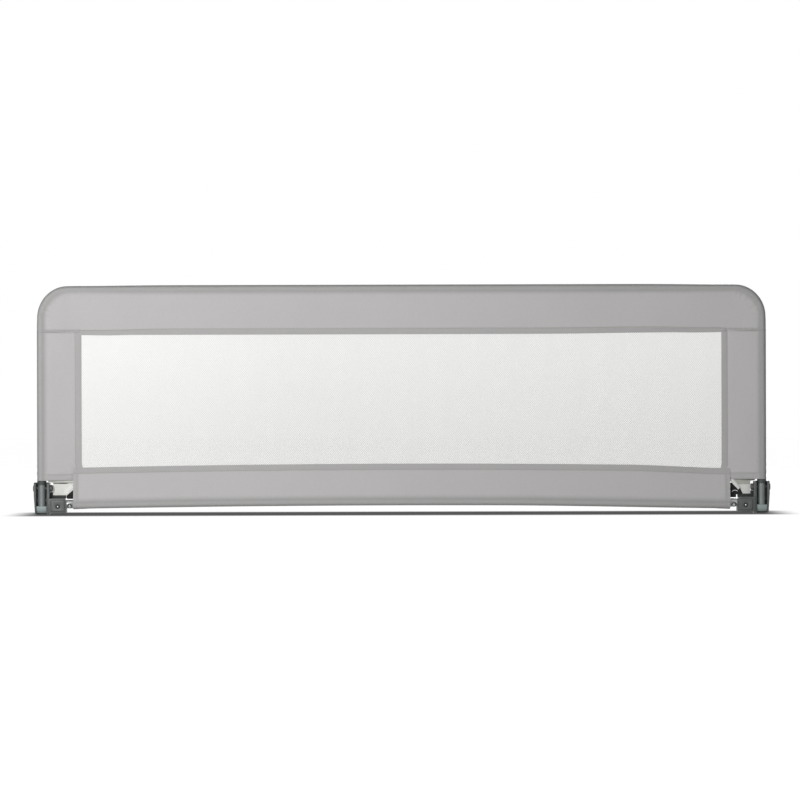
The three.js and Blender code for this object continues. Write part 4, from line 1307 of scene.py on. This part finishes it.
tree, given = group("Geometry", "hook field", {
    "Places": "Geometry", "Hook length": 0.001, "Hook radius": 0.0002, "Lean": 0.4, "Seed": 4,
    "Finish": "Material"})
stalk = added(tree, "GeometryNodeMeshCone", {
    "Vertices": 5, "Radius Top": hook_tip, "Radius Bottom": given["Hook radius"],
    "Depth": given["Hook length"]})
lean = {"Seed": given["Seed"], 2: times(tree, given["Lean"], -1.0), 3: given["Lean"]}
lean = added(tree, "FunctionNodeRandomValue", lean, data_type="FLOAT").outputs[1]
attitude = {"X": sums(tree, "ADD", lean, math.pi / 2), "Z": lean}
attitude = added(tree, "ShaderNodeCombineXYZ", attitude).outputs["Vector"]
turned_out = added(tree, "FunctionNodeEulerToRotation", {"Euler": attitude}).outputs["Rotation"]
planted = added(tree, "GeometryNodeInstanceOnPoints", {
    "Points": given["Places"], "Instance": stalk.outputs["Mesh"], "Rotation": turned_out})
hook_tree = made_real(tree, given, "Hooks", planted.outputs["Instances"])


def tape_face(x):
    return np.maximum(tape_low.y, flap_face(x) + flap_thickness + tape_gap)


black_tape = cloth("black_hook_tape", tape_colour, tape_colour, threads=1500.0, weave=0.25, mottle=0.2,
                   depth=0.0002)
values = {"Hook length": hook_length, "Hook radius": hook_radius, "Lean": hook_lean, "Seed": 11,
          "Finish": black_tape}
for side, sign in sides.items():
    edge_z, edge_x = zip(*tape_edge[side])
    rows = []
    hooks = []
    for z in np.linspace(edge_z[0], edge_z[-1], int((edge_z[-1] - edge_z[0]) / tape_step) + 1):
        x = np.linspace(tape_low.x, np.interp(z, edge_z, edge_x), tape_columns)
        rows.append(row_of(sign * x, tape_face(x) + tape_wave * np.sin(x * 310), z))
    for z in np.arange(edge_z[0] + hook_pitch / 2, edge_z[-1], hook_pitch):
        for x in np.arange(hook_start, np.interp(z, edge_z, edge_x) - hook_pitch / 3, hook_pitch):
            hooks.append([(sign * x, float(tape_face(x)) - hook_length * hook_sink, float(z))])
    mesh = cloth_mesh(f"{side}_tape", outward(rows, sign < 0), 0.0, tape_thickness)
    tape = shown(f"{side}_tape_end", mesh, black_tape, None, "hook_tape", f"{side}_hook_tape")
    mesh = smoothed(along_lines("hooks", hooks, hook_tree, values), 60)
    pieces = [tape, shown(f"{side}_tape_hooks", mesh, black_tape, None, "hook_tape")]
    if side == "right":
        arc = [(x, float(tape_face(x)) - turned_forward, z) for x, z in turned_edge]
        mesh = tube("turned_edge", arc, turned_radius, cream_lining)
        pieces.append(shown("right_tape_turned_edge", mesh, cream_lining, None, "lining"))
    for piece in pieces:
        tied(piece)

# Net: white warp-knitted polyester with small diamond holes, held taut between the two layers of
# the hems all round the window.
net_colour = (236, 236, 234)
net_tuck = 0.006
net_wide = 0.0042
net_high = 0.0034
net_strand = 0.36
net_slack = (0.0005, 19, 0.7, 23, 3)
net_columns = 180
net_rows = 40
knot_shade = 0.12
knot_tone = (0.3, 0.3, 0.3, 1.0)
# Painted shade: the colour the net darkens towards, lower down and further to the right.
net_shade_tone = (0.25, 0.25, 0.23, 1.0)


def ramped(tree, value, low, high=1.0):
    inputs = {"Value": value, "From Min": low, "From Max": high}
    return added(tree, "ShaderNodeMapRange", inputs).outputs["Result"]


tree, given = group("Shader", "knitted net", {
    "Colour": (0.9, 0.9, 0.9, 1.0), "Hole width": 0.004, "Hole height": 0.003, "Strand share": 0.35,
    "Lit above": 0.3, "Shade below": 0.2, "Lit from": -0.7, "Shade across": 0.1})
place = added(tree, "ShaderNodeTexCoord").outputs["Object"]
axes = added(tree, "ShaderNodeSeparateXYZ", {"Vector": place}).outputs
over = sums(tree, "DIVIDE", axes["X"], given["Hole width"])
up = sums(tree, "DIVIDE", axes["Z"], given["Hole height"])
strands = []
for operation in ("ADD", "SUBTRACT"):
    run = sums(tree, "FRACT", sums(tree, operation, over, up))
    strands.append(sums(tree, "ABSOLUTE", sums(tree, "SUBTRACT", run, 0.5)))
nearest = sums(tree, "MAXIMUM", *strands)
bare = sums(tree, "SUBTRACT", 0.5, times(tree, given["Strand share"], 0.5))
knots = eased(tree, sums(tree, "MINIMUM", *strands), 0.3, 0.5, 0.0, knot_shade)
# Painted shade: the net's colour darkens towards the sill and towards the right, where less light falls on
# it.
down = ramped(tree, axes["Z"], given["Lit above"], sums(tree, "SUBTRACT", given["Lit above"], 0.2))
across = ramped(tree, axes["X"], given["Lit from"], sums(tree, "ADD", given["Lit from"], 0.45))
painted_net_shade = sums(tree, "ADD", times(tree, down, given["Shade below"]), times(tree, across, given["Shade across"]))
toned = blended(tree, knots, given["Colour"], knot_tone)
knitted_net = put_out(
    tree,
    Colour=blended(tree, painted_net_shade, toned, net_shade_tone),
    Alpha=sums(tree, "GREATER_THAN", nearest, bare),
    Height=ramped(tree, nearest, bare),
)

values = {"Colour": linear(*net_colour), "Hole width": net_wide, "Hole height": net_high,
          "Strand share": net_strand, "Lit above": 0.33, "Shade below": 0.2, "Lit from": -0.66,
          "Shade across": 0.13}
net_yarn = finish("net_yarn", knitted_net, values, 0.0002, Roughness=0.85)
net_half = window_side + net_tuck
points = []
for i in range(net_rows + 1):
    for j in range(net_columns + 1):
        x = net_half * (2 * j / net_columns - 1)
        foot = sill_end - net_tuck - drop_at(x) + float(bow_at(x))
        z = foot + (window_top + net_tuck - foot) * i / net_rows
        swell = math.sin(math.pi * i / net_rows) * (1 - (x / net_half) ** 8)
        points.append((x, rail_y + slack_waves(x, z, *net_slack) * swell, z))
net_mesh = from_points("window_net", points, [], grid_faces(net_rows + 1, net_columns + 1))
window_net = shown("window_net", smoothed(net_mesh), net_yarn, "rail", "net", "mesh_window")

# The camera stands level with the middle of the rail and far off, as for a catalogue picture.
# A pale floor with a painted shadow strip under the rail, and even light from the front, stronger from the
# left.
pixel = 0.0020353
view_distance = 7.0
image_pixels = 800
middle_column = 401.5
ground_row = 514
sensor_width = 36.0
roll = math.radians(0.15)
camera = placed("camera", bpy.data.cameras.new("camera"))
camera.data.sensor_width = sensor_width
camera.data.lens = sensor_width * view_distance / (image_pixels * pixel)
camera.data.clip_start = 0.1
camera.data.clip_end = 60.0
camera.location = ((image_pixels / 2 - middle_column) * pixel, rail_y - view_distance,
                   (ground_row - image_pixels / 2) * pixel)
camera.rotation_euler = (math.pi / 2, roll, 0)
bpy.context.scene.camera = camera

soft_light = 0.18
paper_white = (1.0, 1.0, 1.0, 1.0)
world = bpy.data.worlds.new("studio")
bpy.context.scene.world = world


def seen_by(tree):
    """The kinds of ray, and 1 for the rays that show the picture: direct, mirrored or through glass."""
    ray = added(tree, "ShaderNodeLightPath").outputs
    bounced = sums(tree, "MAXIMUM", ray["Is Glossy Ray"], ray["Is Transmission Ray"])
    return ray, sums(tree, "MAXIMUM", ray["Is Camera Ray"], bounced)


def either(tree, share, first, second):
    inputs = {0: share, 1: first.outputs[0], 2: second.outputs[0]}
    return added(tree, "ShaderNodeMixShader", inputs)


tree = cleared(world)
ray, seen = seen_by(tree)
soft = added(tree, "ShaderNodeBackground", {"Color": paper_white, "Strength": soft_light})
white = added(tree, "ShaderNodeBackground", {"Color": paper_white, "Strength": 1.0})
added(tree, "ShaderNodeOutputWorld", {"Surface": either(tree, seen, soft, white).outputs[0]})

floor_half = 14.0
floor_glow = 0.985
floor_tone = (0.9, 0.9, 0.9, 1.0)
floor_seen_tone = (0.06, 0.06, 0.06, 1.0)
# Painted shadow: a dark strip on the floor under the rail, seen only by the camera.
painted_shadow_tone = (0.05, 0.05, 0.05, 1.0)
contact_middle = -0.165
contact_wide = 0.075
contact_fade = 0.085
contact_half = 0.73
contact_end_fade = 0.09
contact_depth = 0.93
seen_from_above = 0.72
corners = [(floor_half * x, floor_half * y, 0.0) for x, y in ((-1, -1), (1, -1), (1, 1), (-1, 1))]
floor_mesh = from_points("floor", corners, [], [(0, 1, 2, 3)])
placed("floor", floor_mesh)
floor_white = bpy.data.materials.new("floor_white")
floor_mesh.materials.append(floor_white)
tree = cleared(floor_white)
ray, seen = seen_by(tree)
place = added(tree, "ShaderNodeTexCoord").outputs["Object"]
axes = added(tree, "ShaderNodeSeparateXYZ", {"Vector": place}).outputs
from_middle = sums(tree, "ABSOLUTE", sums(tree, "SUBTRACT", axes["Y"], contact_middle))
from_centre = sums(tree, "ABSOLUTE", axes["X"])
along_rail = eased(tree, from_centre, contact_half, contact_half + contact_end_fade, 1.0, 0.0)
across_rail = eased(tree, from_middle, contact_wide, contact_wide + contact_fade, 1.0, 0.0)
painted_shadow = times(tree, times(tree, along_rail, across_rail), ray["Is Camera Ray"])
# The painted shadow is lighter where the floor is seen from above.
grazing = added(tree, "ShaderNodeLayerWeight", {"Blend": 0.5}).outputs["Facing"]
depth = eased(tree, grazing, 0.8, 0.95, contact_depth * seen_from_above, contact_depth)
open_floor = sums(tree, "SUBTRACT", 1.0, times(tree, painted_shadow, depth))
paper = blended(tree, painted_shadow, blended(tree, seen, floor_tone, floor_seen_tone), painted_shadow_tone)
matt = added(tree, "ShaderNodeBsdfDiffuse", {"Color": paper})
glow = added(tree, "ShaderNodeEmission", {"Strength": times(tree, times(tree, seen, floor_glow), open_floor)})
clear = times(tree, floor_glow, open_floor)
clear = added(tree, "ShaderNodeCombineColor", {"Red": clear, "Green": clear, "Blue": clear}).outputs[0]
glass = added(tree, "ShaderNodeBsdfTransparent", {"Color": clear})
glowing, looked_through = [added(tree, "ShaderNodeAddShader", {0: matt.outputs[0], 1: light.outputs[0]})
                           for light in (glow, glass)]
from_above = either(tree, ray["Is Camera Ray"], glowing, looked_through)
under = added(tree, "ShaderNodeNewGeometry").outputs["Backfacing"]
surface = either(tree, under, from_above, added(tree, "ShaderNodeBsdfTransparent"))
added(tree, "ShaderNodeOutputMaterial", {"Surface": surface.outputs[0]})


def softbox(name, place, aim, size, power):
    lamp = bpy.data.lights.new(name, "AREA")
    lamp.shape = "SQUARE"
    lamp.size = size
    lamp.energy = power
    holder = placed(name, lamp)
    holder.location = place
    holder.rotation_euler = (Vector(aim) - Vector(place)).to_track_quat("-Z", "Y").to_euler()


softbox("key", place=(-1.45, -3.1, 0.95), aim=(-0.2, -0.2, 0.25), size=1.0, power=62.0)
softbox("front", place=(-0.3, -5.2, 0.6), aim=(0.0, -0.2, 0.25), size=1.6, power=34.0)
softbox("back", place=(0.9, 3.6, 1.5), aim=(0.0, -0.2, 0.25), size=2.0, power=85.0)
bpy.context.scene.view_settings.view_transform = "Standard"
